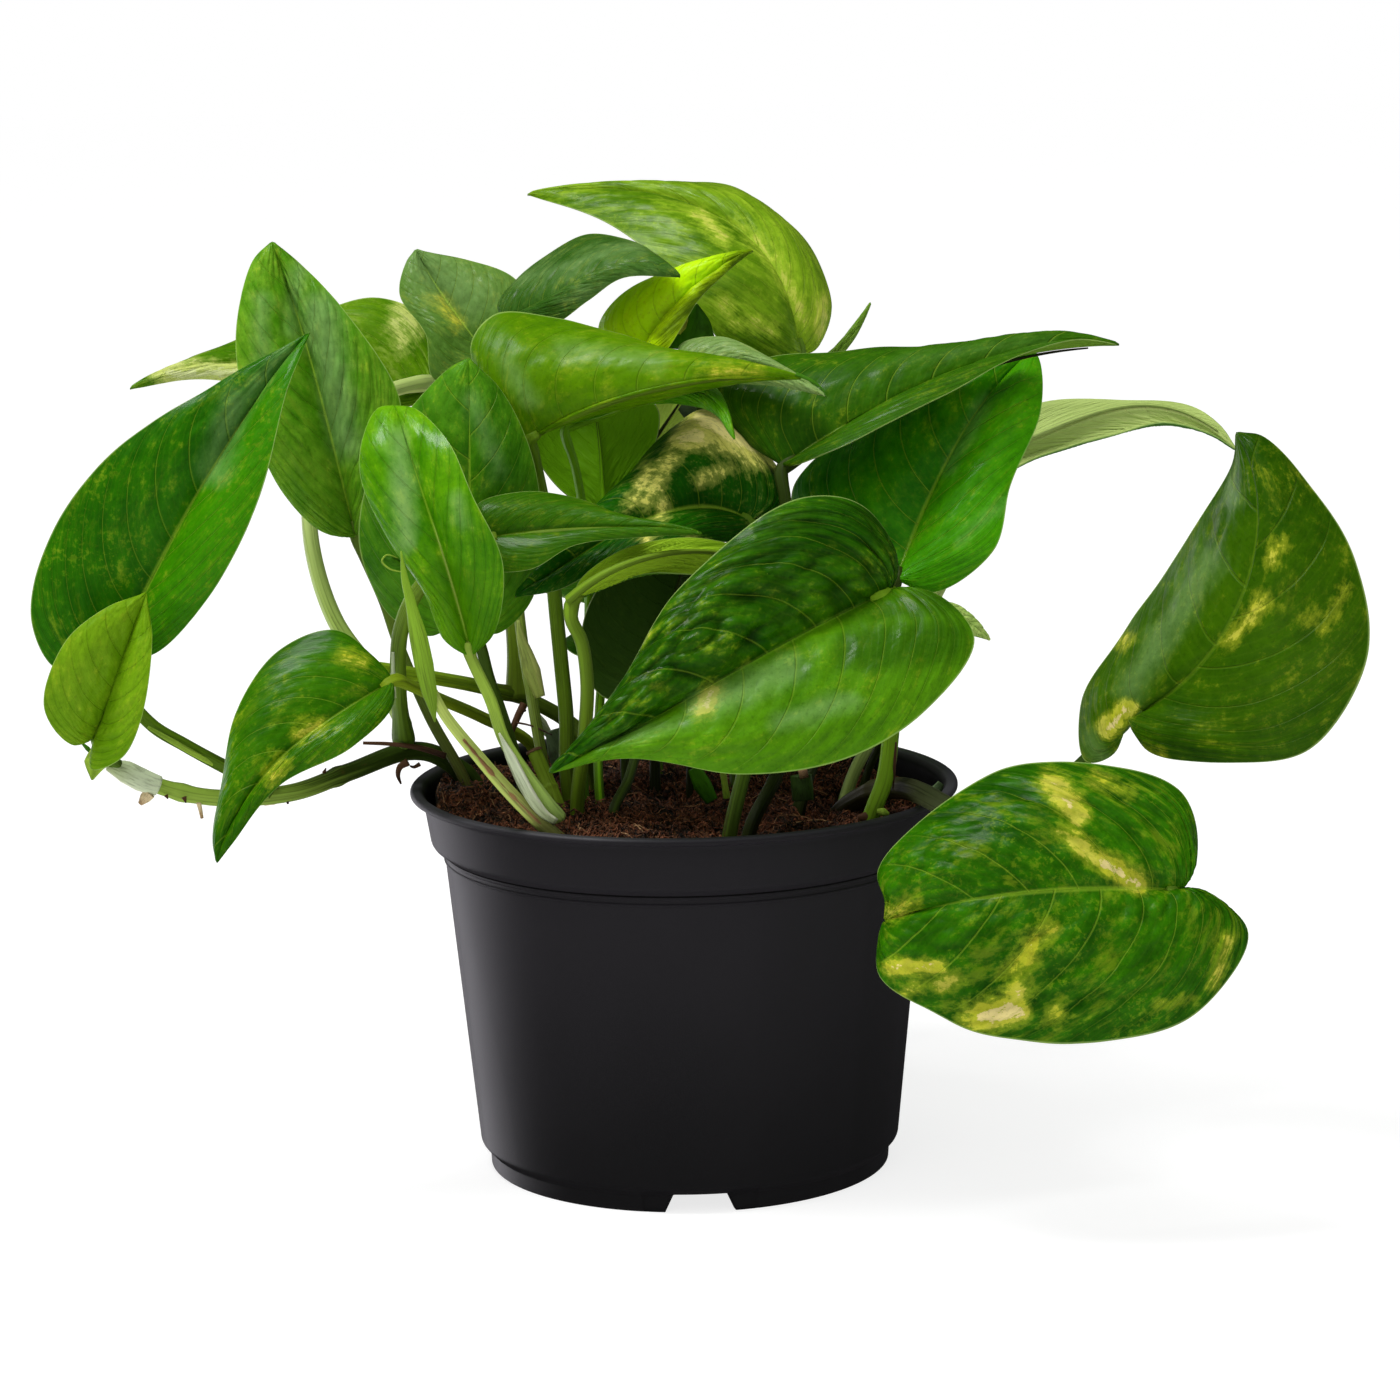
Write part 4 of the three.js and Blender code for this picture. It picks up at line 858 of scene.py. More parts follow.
VINES = {
    "vine_left": dict(
        path=[(-45.5, 8, 82), (-54, 6, 90.4), (-60, 4, 92), (-72.5, -8, 90), (-84.5, -22, 88.4),
        (-100, -28, 88.9), (-111.5, -30, 92), (-118.5, -34, 96.8)],
        radius=2.2),
    "vine_mid": dict(
        path=[(-20.5, 8, 88.5), (-24, 12, 95), (-33.5, 13, 101), (-37, 12, 102.5), (-46, 4, 106.5),
        (-53.5, -6, 110), (-64, -16, 114), (-74, -22, 116.5)],
        radius=1.7),
    "vine_right": dict(
        path=[(33.5, -2, 76.5), (39.5, -11, 83.5), (44.5, -19, 86.5), (49.5, -31, 88.5),
        (54.5, -40, 87.5), (64, -34, 81), (69.5, -30, 78)],
        radius=2.3),
    "shoot_front": dict(
        path=[(-25, -41, 79.5), (-27.5, -43.5, 83), (-31, -46, 87), (-36.5, -48.5, 93.5),
        (-42.5, -51, 101.5), (-49.3, -50.6, 110.5), (-52.2, -49.2, 116)],
        radius=1.9),
    "stub_01": dict(
        path=[(-27, -14, 81.5), (-30, -10, 88.5), (-32.5, -8, 94)],
        radius=1.6),
    "vine_back": dict(
        path=[(14, 36, 81), (15, 50, 87), (16, 60, 89), (17, 72, 83), (16, 79, 68), (13, 82, 50),
        (11, 82, 38)],
        radius=1.8),
}

# %% [markdown]
# No two leaves of this plant have the same green. Each has a deep and a light green, between which
# clouds of colour drift, a number of side veins, and how much it is quilted, waved and marked. What
# a leaf doesn't name, it takes from the usual look. A pair stands for the left and right half. The
# half shade moves each half towards the deep or the light green: painted shade and painted light on
# the two sides of the fold.

# %% The look of each leaf
# The sheen tone and strength lay a painted sheen that stands in for reflections; the last two stroke
# lists place painted sheen and painted shade.
USUAL = dict(
    deep=(28, 80, 2), light=(70, 130, 10), gold=(186, 190, 44), cream=(232, 214, 142), half_shade=(0, 0),
    painted_light_tone=(134, 170, 104), veins=8, cells=5.0, quilt=(0.25, 0.25), wave=0.9, ripple=0.8, flecks=0.25,
    streaks=0.2, vein=0.42, spine=0.6, rim=0.45, rough=0.34, coat=0.08, under=(104, 142, 40),
    brush=0.04, drift=0.8, sheen=0.42, strokes=(), creams=(), painted_light_strokes=(), painted_shade_strokes=())

LOOKS = {
    "leaf_01": dict(
        deep=(22, 82, 0), light=(56, 130, 0), half_shade=(-0.04, 0.06), vein=0.36, flecks=0.5, sheen=0.36,
        painted_light_strokes=[(236, 402, 212, 470, 16), (285, 350, 245, 400, 8)]),
    "leaf_02": dict(
        deep=(84, 132, 0), light=(124, 166, 22), veins=6, vein=0.1, flecks=0.1, rough=0.5,
        coat=0.0),
    "leaf_03": dict(
        deep=(28, 84, 0), light=(70, 130, 0), veins=7, flecks=0.5,
        strokes=[(318, 725, 300, 735, 3), (345, 655, 362, 662, 2), (285, 762, 272, 778, 3)]),
    "leaf_04": dict(
        deep=(56, 124, 0), light=(134, 184, 46), half_shade=(0.0, -0.03), veins=9, vein=0.2, spine=0.8,
        quilt=(0.4, 0.6), flecks=0.1, sheen=0.55,
        painted_light_strokes=[(318, 310, 345, 440, 20), (262, 300, 262, 372, 7), (300, 270, 290, 330, 8)]),
    "leaf_05": dict(
        deep=(58, 112, 0), light=(112, 152, 12), gold=(196, 208, 110), cream=(206, 214, 150),
        flecks=0.6, streaks=0.6, brush=0.25,
        creams=[(290, 372, 170, 374, 3)],
        strokes=[(300, 372, 160, 374, 8), (400, 308, 420, 330, 5), (395, 325, 405, 345, 4)]),
    "leaf_06": dict(
        deep=(70, 112, 30), light=(104, 142, 62),
        strokes=[(441, 300, 456, 322, 3)],
        painted_light_strokes=[(420, 262, 470, 300, 20)]),
    "leaf_07": dict(
        deep=(32, 78, 6), light=(76, 116, 44), veins=11, vein=0.5,
        painted_light_strokes=[(520, 280, 640, 245, 8), (560, 300, 650, 272, 3)]),
    "leaf_08": dict(
        deep=(66, 110, 0), light=(138, 178, 30), gold=(176, 196, 60), half_shade=(-0.05, 0.07), veins=10,
        flecks=0.4, streaks=0.5, brush=0.4,
        strokes=[(700, 216, 722, 240, 2), (738, 222, 775, 262, 1), (822, 300, 818, 330, 4),
        (780, 270, 806, 320, 1), (720, 300, 730, 310, 3), (770, 330, 735, 322, 1)],
        painted_shade_strokes=[(690, 290, 745, 285, 14)]),
    # Leaf 09's greens are raised as painted light, and its sheen tone is dark: painted shade on its
    # tip.
    "leaf_09": dict(
        deep=(180, 235, 0), light=(205, 248, 6), painted_light_tone=(52, 80, 4), half_shade=(-0.1, 0.1), veins=7,
        sheen=0.95,
        painted_light_strokes=[(662, 335, 748, 252, 14)]),
    "leaf_10": dict(
        deep=(60, 110, 0), light=(102, 148, 0), veins=7, vein=0.2, flecks=0.4, streaks=0.4,
        coat=0.04,
        strokes=[(700, 370, 760, 372, 0)],
        painted_light_strokes=[(500, 350, 530, 400, 8), (560, 350, 660, 362, 6)]),
    "leaf_11": dict(
        deep=(88, 128, 36), light=(150, 180, 112), veins=8, streaks=0.6),
    "leaf_12": dict(
        deep=(50, 122, 0), light=(90, 158, 10), veins=9),
    "leaf_13": dict(
        deep=(7, 54, 0), light=(28, 100, 0), gold=(224, 222, 104), cream=(252, 240, 150), veins=9,
        quilt=(0.2, 0.3), flecks=0.15, streaks=0.1, brush=0.25,
        creams=[(700, 418, 756, 448, 6), (684, 440, 700, 436, 5), (765, 455, 775, 462, 1)],
        strokes=[(690, 430, 760, 455, 10), (672, 455, 645, 500, 4), (665, 505, 645, 540, 1),
        (700, 480, 730, 466, 2), (690, 545, 740, 560, 3), (650, 470, 632, 505, 3)],
        painted_shade_strokes=[(700, 500, 740, 530, 14)]),
    "leaf_14": dict(
        deep=(28, 72, 0), light=(58, 112, 0), veins=8, flecks=0.1, streaks=0.1, sheen=0.1,
        rough=0.45,
        painted_light_strokes=[(900, 360, 1050, 340, 5)]),
    "leaf_15": dict(
        deep=(22, 96, 0), light=(74, 162, 2), half_shade=(-0.06, 0.06), veins=8, flecks=0.2,
        painted_light_strokes=[(950, 470, 985, 400, 4), (960, 540, 1010, 500, 2)]),
    # Its underside green is raised as painted light, for light that hardly reaches it.
    "leaf_16": dict(
        deep=(60, 110, 40), light=(80, 130, 50), under=(186, 206, 120), veins=16, vein=0.6),
    "leaf_17": dict(
        deep=(28, 68, 0), light=(64, 106, 0), half_shade=(0.03, -0.02), veins=6, vein=0.14, spine=0.2,
        flecks=0.3, sheen=0.34,
        creams=[(1109, 728, 1128, 708, 2)],
        strokes=[(1232, 640, 1262, 600, 3), (1308, 622, 1314, 616, 2), (1325, 630, 1345, 590, 1),
        (1122, 752, 1160, 756, 2), (1270, 560, 1280, 545, 1), (1128, 640, 1124, 644, 2)],
        painted_light_strokes=[(1130, 690, 1210, 560, 14), (1235, 500, 1225, 440, 8), (1090, 740, 1105, 760, 8)]),
    "leaf_18": dict(
        deep=(12, 62, 0), light=(56, 124, 0), veins=7, spine=0.5, quilt=(0.9, 0.9), flecks=0.6,
        streaks=0.6, brush=0.25, coat=0.02,
        creams=[(1104, 864, 1138, 884, 3), (982, 1016, 1016, 1010, 6), (892, 967, 940, 966, 0),
        (1066, 800, 1072, 808, 1), (1036, 940, 1024, 958, 1)],
        strokes=[(1052, 784, 1076, 812, 9), (1066, 834, 1100, 862, 6), (1100, 858, 1140, 884, 7),
        (1096, 778, 1128, 794, 3), (1046, 930, 1012, 972, 7), (1016, 995, 972, 1018, 11),
        (915, 900, 892, 914, 3), (1190, 1000, 1160, 1004, 0), (1225, 940, 1215, 985, 2),
        (955, 978, 940, 984, 2), (1060, 1010, 1052, 1016, 3), (920, 985, 900, 1000, 2)]),
    "leaf_19": dict(
        deep=(22, 78, 0), light=(90, 150, 10), half_shade=(0.08, -0.09), veins=7, vein=0.3, spine=0.15,
        quilt=(0.45, 1.7), cells=6.0, wave=0.7, flecks=0.05, streaks=0.05, drift=0.5,
        creams=[(710, 695, 706, 706, 1)],
        strokes=[(712, 690, 702, 712, 4), (642, 640, 646, 634, 0)],
        painted_light_strokes=[(700, 705, 790, 672, 16), (780, 722, 850, 700, 10), (600, 745, 690, 720, 4)],
        painted_shade_strokes=[(862, 648, 950, 640, 26), (850, 612, 960, 600, 18), (770, 560, 870, 520, 24)]),
    "leaf_20": dict(
        deep=(44, 112, 0), light=(116, 182, 8), veins=7, vein=0.12, quilt=(0.15, 0.15), flecks=0.1,
        sheen=0.6, rough=0.3, coat=0.15,
        painted_light_strokes=[(398, 440, 408, 540, 12), (458, 500, 466, 545, 5)],
        painted_shade_strokes=[(455, 575, 482, 655, 26)]),
    "leaf_21": dict(
        deep=(28, 90, 0), light=(94, 160, 26), veins=7, flecks=0.2,
        painted_light_strokes=[(470, 400, 500, 470, 7)]),
    "leaf_22": dict(
        deep=(40, 88, 0), light=(62, 112, 10), veins=10, vein=0.15, quilt=(0.08, 0.08)),
    # Its underside green is raised as painted light, for light that hardly reaches it.
    "leaf_23": dict(
        deep=(60, 110, 30), light=(90, 140, 40), under=(158, 198, 40), veins=12),
    # Its greens on both sides are near black: painted shade.
    "leaf_24": dict(
        deep=(18, 32, 6), light=(26, 46, 10), under=(42, 70, 12)),
    # Its underside green is raised as painted light, for light that hardly reaches it.
    "leaf_25": dict(
        deep=(30, 66, 14), light=(44, 84, 20), under=(104, 160, 8)),
    # Its underside green is raised as painted light, for light that hardly reaches it.
    "leaf_26": dict(
        deep=(70, 110, 40), light=(110, 150, 60), under=(225, 255, 110), streaks=0.6),
    "leaf_27": dict(
        deep=(120, 170, 50), light=(196, 216, 126)),
    "leaf_28": dict(
        deep=(90, 130, 30), light=(130, 170, 60)),
    "leaf_32": dict(
        deep=(60, 130, 14), light=(100, 164, 30), streaks=0.5),
}


def look_of(name):
    """The usual look with this leaf's own words over it."""
    return {**USUAL, "seed": int(name[-2:]) * 7, **LOOKS.get(name, {})}


print("leaves:", len(LEAVES), "with their own look:", len(LOOKS), "stems:", len(VINES))


# %% [markdown]
# The blade's finish. Its pattern is laid out on the weave: `across` runs from margin to margin and
# `along` from base to tip, so a side vein is a line of one `phase` and a streak is noise drawn out
# across. Clouds and specks don't follow the veins, so they read the object's own place.

# %% The pattern of a leaf


def leaf_pattern(f, look):
    """The fields that the layers are mixed from: noise at six sizes, blisters, veins and rim."""
    place_across, along = f.own_place()
    across = place_across * 2 - 1
    out = abs(across)
    right = across.sum("GREATER_THAN", across, 0.0)
    where = f.here()
    phase = vein_start(along, out) * look["veins"] + right * 0.5
    apart = right * 9.5 + look["seed"] * 1.7
    cloud = f.noise(where, 30.0, 2.0)
    dash = f.noise(f.vector(phase * 2.6, out * 8.0, apart), 2.2, 5.0, 0.72)
    vein_gap = abs((phase + swing(cloud, 0.25)).fraction() - 0.5)
    (half_shade, further_half_shade), (quilt, further_quilt) = look["half_shade"], look["quilt"]
    return SimpleNamespace(
        out=out, cloud=cloud, dash=dash,
        mottle=f.noise(where, 130.0, 3.0, 0.6),
        grain=f.noise(where, 1300.0, 2.0, 0.6),
        speckle=f.noise(where, 420.0, 4.0, 0.7),
        crowd=f.noise(where, 60.0, 2.0).rise(0.44, 0.62),
        streak=f.noise(f.vector(phase * 0.8, out * 2.2, apart), 1.6, 5.0, 0.62),
        cell=f.node("ShaderNodeTexVoronoi", {"feature": "SMOOTH_F1"}, {
            "Vector": f.vector(phase * 2.6, out * 9.0, apart), "Scale": 1.0, "Smoothness": 0.25}),
        between=1 - vein_gap * 2,
        side_vein=vein_gap.rise(0.468, 0.49) * (1 - out.rise(0.6, 1.0) * 0.8),
        fine_vein=abs((phase * 5.0 + swing(dash, 0.8)).fraction() - 0.5).rise(0.3, 0.5),
        spine=(1 - out.rise(0.008, 0.03)) * (1 - along.rise(0.8, 1.0)),
        rim=out.rise(0.984, 0.995),
        # How far each half is moved towards the deep or the light green: painted shade and painted
        # light.
        half_shade=right * (further_half_shade - half_shade) + half_shade,
        quilt=right * (further_quilt - quilt) + quilt)


# %% [markdown]
# The colour is laid on in layers, as a painter would. First the greens, with painted light and shade
# on the two halves, then gold and cream with ragged edges that follow the veins, then painted sheen,
# painted shade and the painted shade of hollows and creases, and the pale lines last.

# %% The layers of colour


def greens(f, p, look):
    """Clouds of deep and light green, with pale flecks where they crowd."""
    deep, light = seen(*look["deep"]), seen(*look["light"])
    drift = (swing(p.cloud, 0.5) + swing(p.mottle, 0.3)) * look["drift"]
    drift = drift + swing(p.streak, look["brush"])
    # The half shade paints light on one half of the blade and shade on the other.
    share = (drift + swing(p.speckle, 0.2) + swing(p.between, 0.05) + p.half_shade).rise(-0.2, 0.2)
    flecks = (p.speckle * 0.5 + p.grain * 0.5).rise(0.52, 0.6) * p.crowd * look["flecks"]
    return f.mix(f.mix(deep, light, share), blend(light, seen(*look["gold"]), 0.25), flecks)


def variegation(f, p, look, tone):
    """Gold and cream where the marks say, with a paler halo; also how golden each place is."""
    mark = f.attribute("mark")
    gold, cream = look["gold"], look["cream"]
    field = mark + swing(p.streak, 0.8) + swing(p.dash, 0.9) + swing(p.speckle, 0.9) \
        + swing(p.mottle, 0.5)
    stray = (p.streak + swing(p.dash, 0.6)).rise(0.52, 0.7) * look["streaks"]
    paler = blend(seen(*look["light"]), seen(*gold), 0.45)
    tone = f.mix(tone, paler, field.rise(0.05, 0.5).larger(stray) * 0.75)
    creamy_gold = seen(*(0.7 * np.array(gold) + 0.3 * np.array(cream)))
    golden = f.mix(seen(*gold), creamy_gold, p.streak.rise(0.4, 0.66))
    let_through = (p.dash * 0.55 + p.speckle * 0.45).rise(0.4, 0.54)
    filled = field.rise(0.44, 0.64)
    tone = f.mix(tone, golden, filled * (let_through * 0.35 + 0.65))
    patch = mark + swing(p.streak, 0.7) + swing(p.dash, 1.5) + swing(p.speckle, 0.9)
    return f.mix(tone, seen(*cream), patch.rise(1.0, 1.1) * 0.95), filled


def painted_light_and_grain(f, p, look, tone):
    """Painted shade and painted sheen from the strokes, painted shade in the hollows and creases
    between the blisters, and a fine grain.
    """
    deep, painted_light_field = look["deep"], f.attribute("painted_light_mask")
    drift = swing(p.streak, 0.25) + swing(p.mottle, 0.5)
    # Darker clouds of random tone, and painted shade where the shade strokes lie.
    tone = f.mix(tone, dimmed(deep, 0.85), (drift - painted_light_field).rise(0.2, 0.85) * 0.6)
    # Painted sheen, a grey-green that stands in for reflections; where a leaf's sheen tone is dark,
    # it is painted shade.
    painted_light_mask = (painted_light_field + drift + swing(p.speckle, 0.2)).rise(0.3, 0.85)
    tone = f.mix(tone, seen(*look["painted_light_tone"]), painted_light_mask * look["sheen"])
    # Painted shade in the hollows between the blisters.
    tone = f.mix(tone, dimmed(deep, 0.42), f.attribute("height").rise(0.1, 1.0) * 0.85)
    # Painted shade in the creases at the blisters' edges.
    tone = f.mix(tone, dimmed(deep, 0.5), p.cell.rise(0.3, 0.75) * p.quilt * 0.3)
    return f.mix(tone, dimmed(deep, 0.6), (p.grain - 0.5).rise(0.0, 0.3) * 0.3)


def veined(f, p, look, tone, filled, under):
    """Pale veins, midrib and rim. The underside is one soft green, on which gold shows faintly."""
    if under:
        tone = f.mix(seen(*look["under"]), tone, (filled * 0.6).larger(0.12))
        tone = f.mix(tone, dimmed(look["under"], 0.8), p.fine_vein * 0.35)
        line = seen(*np.minimum(1.22 * np.array(look["under"]), 235))
    else:
        line = f.mix(tone, seen(160, 196, 50), 0.55)
    tone = f.mix(tone, line, (p.side_vein * look["vein"]).larger(p.fine_vein * 0.04))
    tone = f.mix(tone, line, p.spine * look["spine"])
    return f.mix(tone, seen(170, 196, 110), p.rim * look["rim"])


# %% [markdown]
# A leaf's gloss is a thin clear coat over a satin ground. Blisters and veins too fine for the mesh
# are bump. The stalk has its own finish: fine lines run along it, and it darkens to its foot.

# %% Leaf and stalk finishes


def leaf_finish(name, look, under=False):
    """One side of the blade."""
    f = Finish(name + ("_under" if under else "_upper"))
    p = leaf_pattern(f, look)
    tone, filled = variegation(f, p, look, greens(f, p, look))
    tone = veined(f, p, look, painted_light_and_grain(f, p, look, tone), filled, under)
    puff = (1 - p.cell) * (1 - p.out.rise(0.85, 1.0)) * (p.quilt * 2.2 + 0.15)
    lines = p.fine_vein * 0.05 + p.side_vein * 0.7 + p.spine * 0.4
    height = puff - lines + p.grain * 0.05 + p.mottle * 0.5
    rough = p.cloud * 0.16 + (look["rough"] - 0.08 + (0.2 if under else 0.0))
    return f.surface(tone, rough, f.bump(height, 0.35 * MM, 0.8), **{
        "Coat Weight": 0.0 if under else look["coat"], "Coat Roughness": 0.16,
        "Specular IOR Level": 0.07})


def stalk_finish(name, pale, foot, stain=0.3, rising=False, turn=(0.35, 1.0)):
    """Pale green with fine lengthwise lines, darker or browner towards the foot, which is where the
    tube ends, or where it starts if it is rising."""
    f = Finish(name)
    around, along = f.own_place()
    along = 1 - along if rising else along
    where = f.here()
    lines = f.noise(f.vector(around * 5.0, along * 1.4, 0.0), 2.2, 4.0, 0.6)
    spots = f.noise(where, 260.0, 3.0, 0.7)
    share = (along + swing(lines, 0.5)).rise(*turn)
    darker = f.mix(dimmed(pale, 0.7), dimmed(foot, 0.66), share)
    tone = f.mix(f.mix(seen(*pale), seen(*foot), share), darker, lines.rise(0.46, 0.7) * 0.75)
    stained = (spots * 0.6 + lines * 0.4).rise(0.58, 0.7) * along * stain
    tone = f.mix(tone, seen(96, 62, 34), stained)
    # A paler stripe down one side of each tube: a painted highlight.
    paler = seen(*np.minimum(1.25 * np.array(pale), 240))
    tone = f.mix(tone, paler, (1 - around.rise(0.02, 0.2)) * 0.5)
    normal = f.bump(lines + spots * 0.3, 0.3 * MM, 0.6)
    return f.surface(tone, spots * 0.15 + 0.4, normal, **{"Specular IOR Level": 0.13})


# %% [markdown]
# Now the leaves are made, each in one piece with its stalk, and each stands for its plain node.

# %% Leaves
STALK_TONES = {  # near the blade, at the foot
    "leaf_01": ((96, 132, 20), (66, 92, 14)), "leaf_03": ((124, 150, 24), (92, 104, 16)),
    "leaf_04": ((96, 120, 40), (60, 40, 24)), "leaf_05": ((186, 206, 120), (150, 180, 74)),
    "leaf_06": ((120, 150, 34), (86, 106, 20)), "leaf_07": ((150, 176, 70), (60, 74, 18)),
    "leaf_10": ((98, 132, 22), (70, 88, 14)), "leaf_12": ((104, 158, 10), (60, 92, 8)),
    "leaf_13": ((82, 116, 24), (48, 58, 14)), "leaf_16": ((156, 176, 98), (130, 152, 74)),
    "leaf_17": ((64, 96, 16), (50, 74, 12)), "leaf_19": ((112, 154, 24), (104, 138, 22)),
    "leaf_20": ((140, 170, 60), (150, 180, 90)), "leaf_21": ((70, 98, 24), (40, 46, 14)),
    "leaf_22": ((112, 144, 36), (76, 104, 22)), "leaf_23": ((104, 134, 30), (76, 96, 22)),
    "leaf_25": ((104, 158, 10), (46, 64, 12)),
    # These stalks stand in the plant's shade and are given dark tones: painted shade.
    **{f"leaf_{n:02d}": ((52, 70, 18), (30, 32, 12)) for n in (9, 11, 14, 15, 24, 26, 27)}}
USUAL_STALK = ((92, 128, 30), (62, 84, 20))
CREAM_LIFT = 2.1  # a cream stroke marks this much stronger than a gold one


def make_leaf(name, leaf):
    """Blade, stalk and midrib in one piece."""
    look = look_of(name)
    sheet, up, start = weave(leaf)
    facing = face_directions(sheet, up[:, None])
    height, hollow = relief(leaf, look, sheet)
    sheet = sheet + height[..., None] * facing
    facing = face_directions(sheet, up[:, None])
    sheet = sheet * MM
    t, across = np.linspace(0, 1, ROWS + 1), np.linspace(0, 1, 2 * COLUMNS + 1)
    places = np.stack(np.meshgrid(across, t), axis=-1)
    gold = stroke_marks(look["strokes"], sheet, STROKE_SOFTNESS)
    cream = CREAM_LIFT * stroke_marks(look["creams"], sheet, STROKE_SOFTNESS)
    # Strokes of painted sheen and of painted shade; the hollows are painted in shade by the finish.
    painted_light_mask = stroke_marks(look["painted_light_strokes"], sheet, PAINTED_LIGHT_SOFTNESS)
    painted_shade_mask = stroke_marks(look["painted_shade_strokes"], sheet, PAINTED_LIGHT_SOFTNESS)
    marks = np.stack([np.maximum(gold, cream), painted_light_mask - painted_shade_mask, hollow], axis=-1)
    half = BLADE_HALF * (1 - 0.5 * np.abs(2 * across - 1) ** 8)[None, :, None]
    shape = Shape()
    add_sheet(shape, sheet, facing, half, places, marks, (0, 1))
    add_tube(shape, stalk_skin(leaf, up[3]) * MM, 2)
    add_tube(shape, rib_skin(leaf, up, start) * MM, 2)
    finishes = [leaf_finish(name, look), leaf_finish(name, look, under=True),
                stalk_finish(name + "_stalk", *STALK_TONES.get(name, USUAL_STALK))]
    return piece(name + "_fine", shape, finishes, [name])


for leaf_name, leaf_plan in LEAVES.items():
    make_leaf(leaf_name, leaf_plan)

# %% [markdown]
# A vine is ribbed, with a ring at each node, where a leaf stands or stood.

# %% Vines
VINE_ROWS = 110


def vine_section(angle):
    """Shallow ribs all round."""
    return 1 + 0.05 * np.cos(7 * angle) + 0.03 * np.cos(3 * angle + 1)


def make_vine(name, vine, rings, tones, taper):
    """A ribbed tube with a swollen ring at each given share of its length."""
    route = through(rooted([np.array(p, float) for p in vine["path"]]), VINE_ROWS)
    along = np.linspace(0, 1, VINE_ROWS)
    swell = sum(0.14 * np.exp(-(((along - ring) / 0.016) ** 2)) for ring in rings)
    radius = vine["radius"] * (1 + swell - taper * along)
    shape = Shape()
    add_tube(shape, tube(route, radius, vine_section, sides=28) * MM)
    finish = stalk_finish(name, *tones, stain=0.7, rising=True, turn=(0.22, 0.55))
    return piece(name + "_fine", shape, [finish], [name])


VINE_DETAILS = {  # shares of the length with a ring, tones, how much thinner the tip is
    "vine_left": ((0.2, 0.52, 0.87), ((142, 172, 64), (44, 62, 12)), 0.25),
    "vine_mid": ((0.3, 0.5), ((150, 186, 36), (72, 92, 18)), 0.2),
    "vine_right": ((0.35, 0.8), ((84, 92, 58), (52, 50, 28)), 0.0),
    "shoot_front": ((0.12,), ((166, 184, 90), (150, 156, 82)), 0.45),
    "stub_01": ((0.7,), ((112, 140, 28), (84, 102, 14)), 0.0),
    "vine_back": ((0.4, 0.75), ((112, 146, 44), (60, 82, 20)), 0.3),
}
for vine_name, (rings, tones, taper) in VINE_DETAILS.items():
    make_vine(vine_name, VINES[vine_name], rings, tones, taper)

# %% [markdown]
# Small things tell that a plant is alive: papery sheaths at the nodes, short brown roots, cut
# stubs, a spent tendril. They are flattened tubes, each drawn where the photograph shows it: its
# pixels are carried out along the line of sight to an upright plane at the depth of the stem that
# it stands on.

# %% Sheaths, roots and stubs
STRIP_ROWS = 28


def seen_at(across, down, depth):
    """The point in millimetres on the plane y = depth that the photograph shows at a pixel."""
    way = (photo_right * (across - PHOTO_PIXELS / 2) + photo_up * (PHOTO_PIXELS / 2 - down)
           - to_camera * FOCAL_PIXELS)
    return (eye + way * ((depth * MM - eye[1]) / way[1])) / MM


def add_strip(shape, finish, depths, flat, half, pixels):
    """A tube through these pixels, `half` millimetres wide to each side at even shares of its
    length and flat times as deep, which turns its broad side to the photograph."""
    share = np.linspace(0, 1, STRIP_ROWS)
    depth = np.interp(np.linspace(0, 1, len(pixels)), np.linspace(0, 1, len(depths)), depths)
    route = through([seen_at(*pixel, y) for pixel, y in zip(pixels, depth)], STRIP_ROWS)
    width = np.interp(share, np.linspace(0, 1, len(half)), half)
    side = np.cross(route[-1] - route[0], to_camera)

    def oval(angle):
        return 1 / np.hypot(np.cos(angle), np.sin(angle) / flat)

    add_tube(shape, tube(route, width, oval, side, 16) * MM, finish)


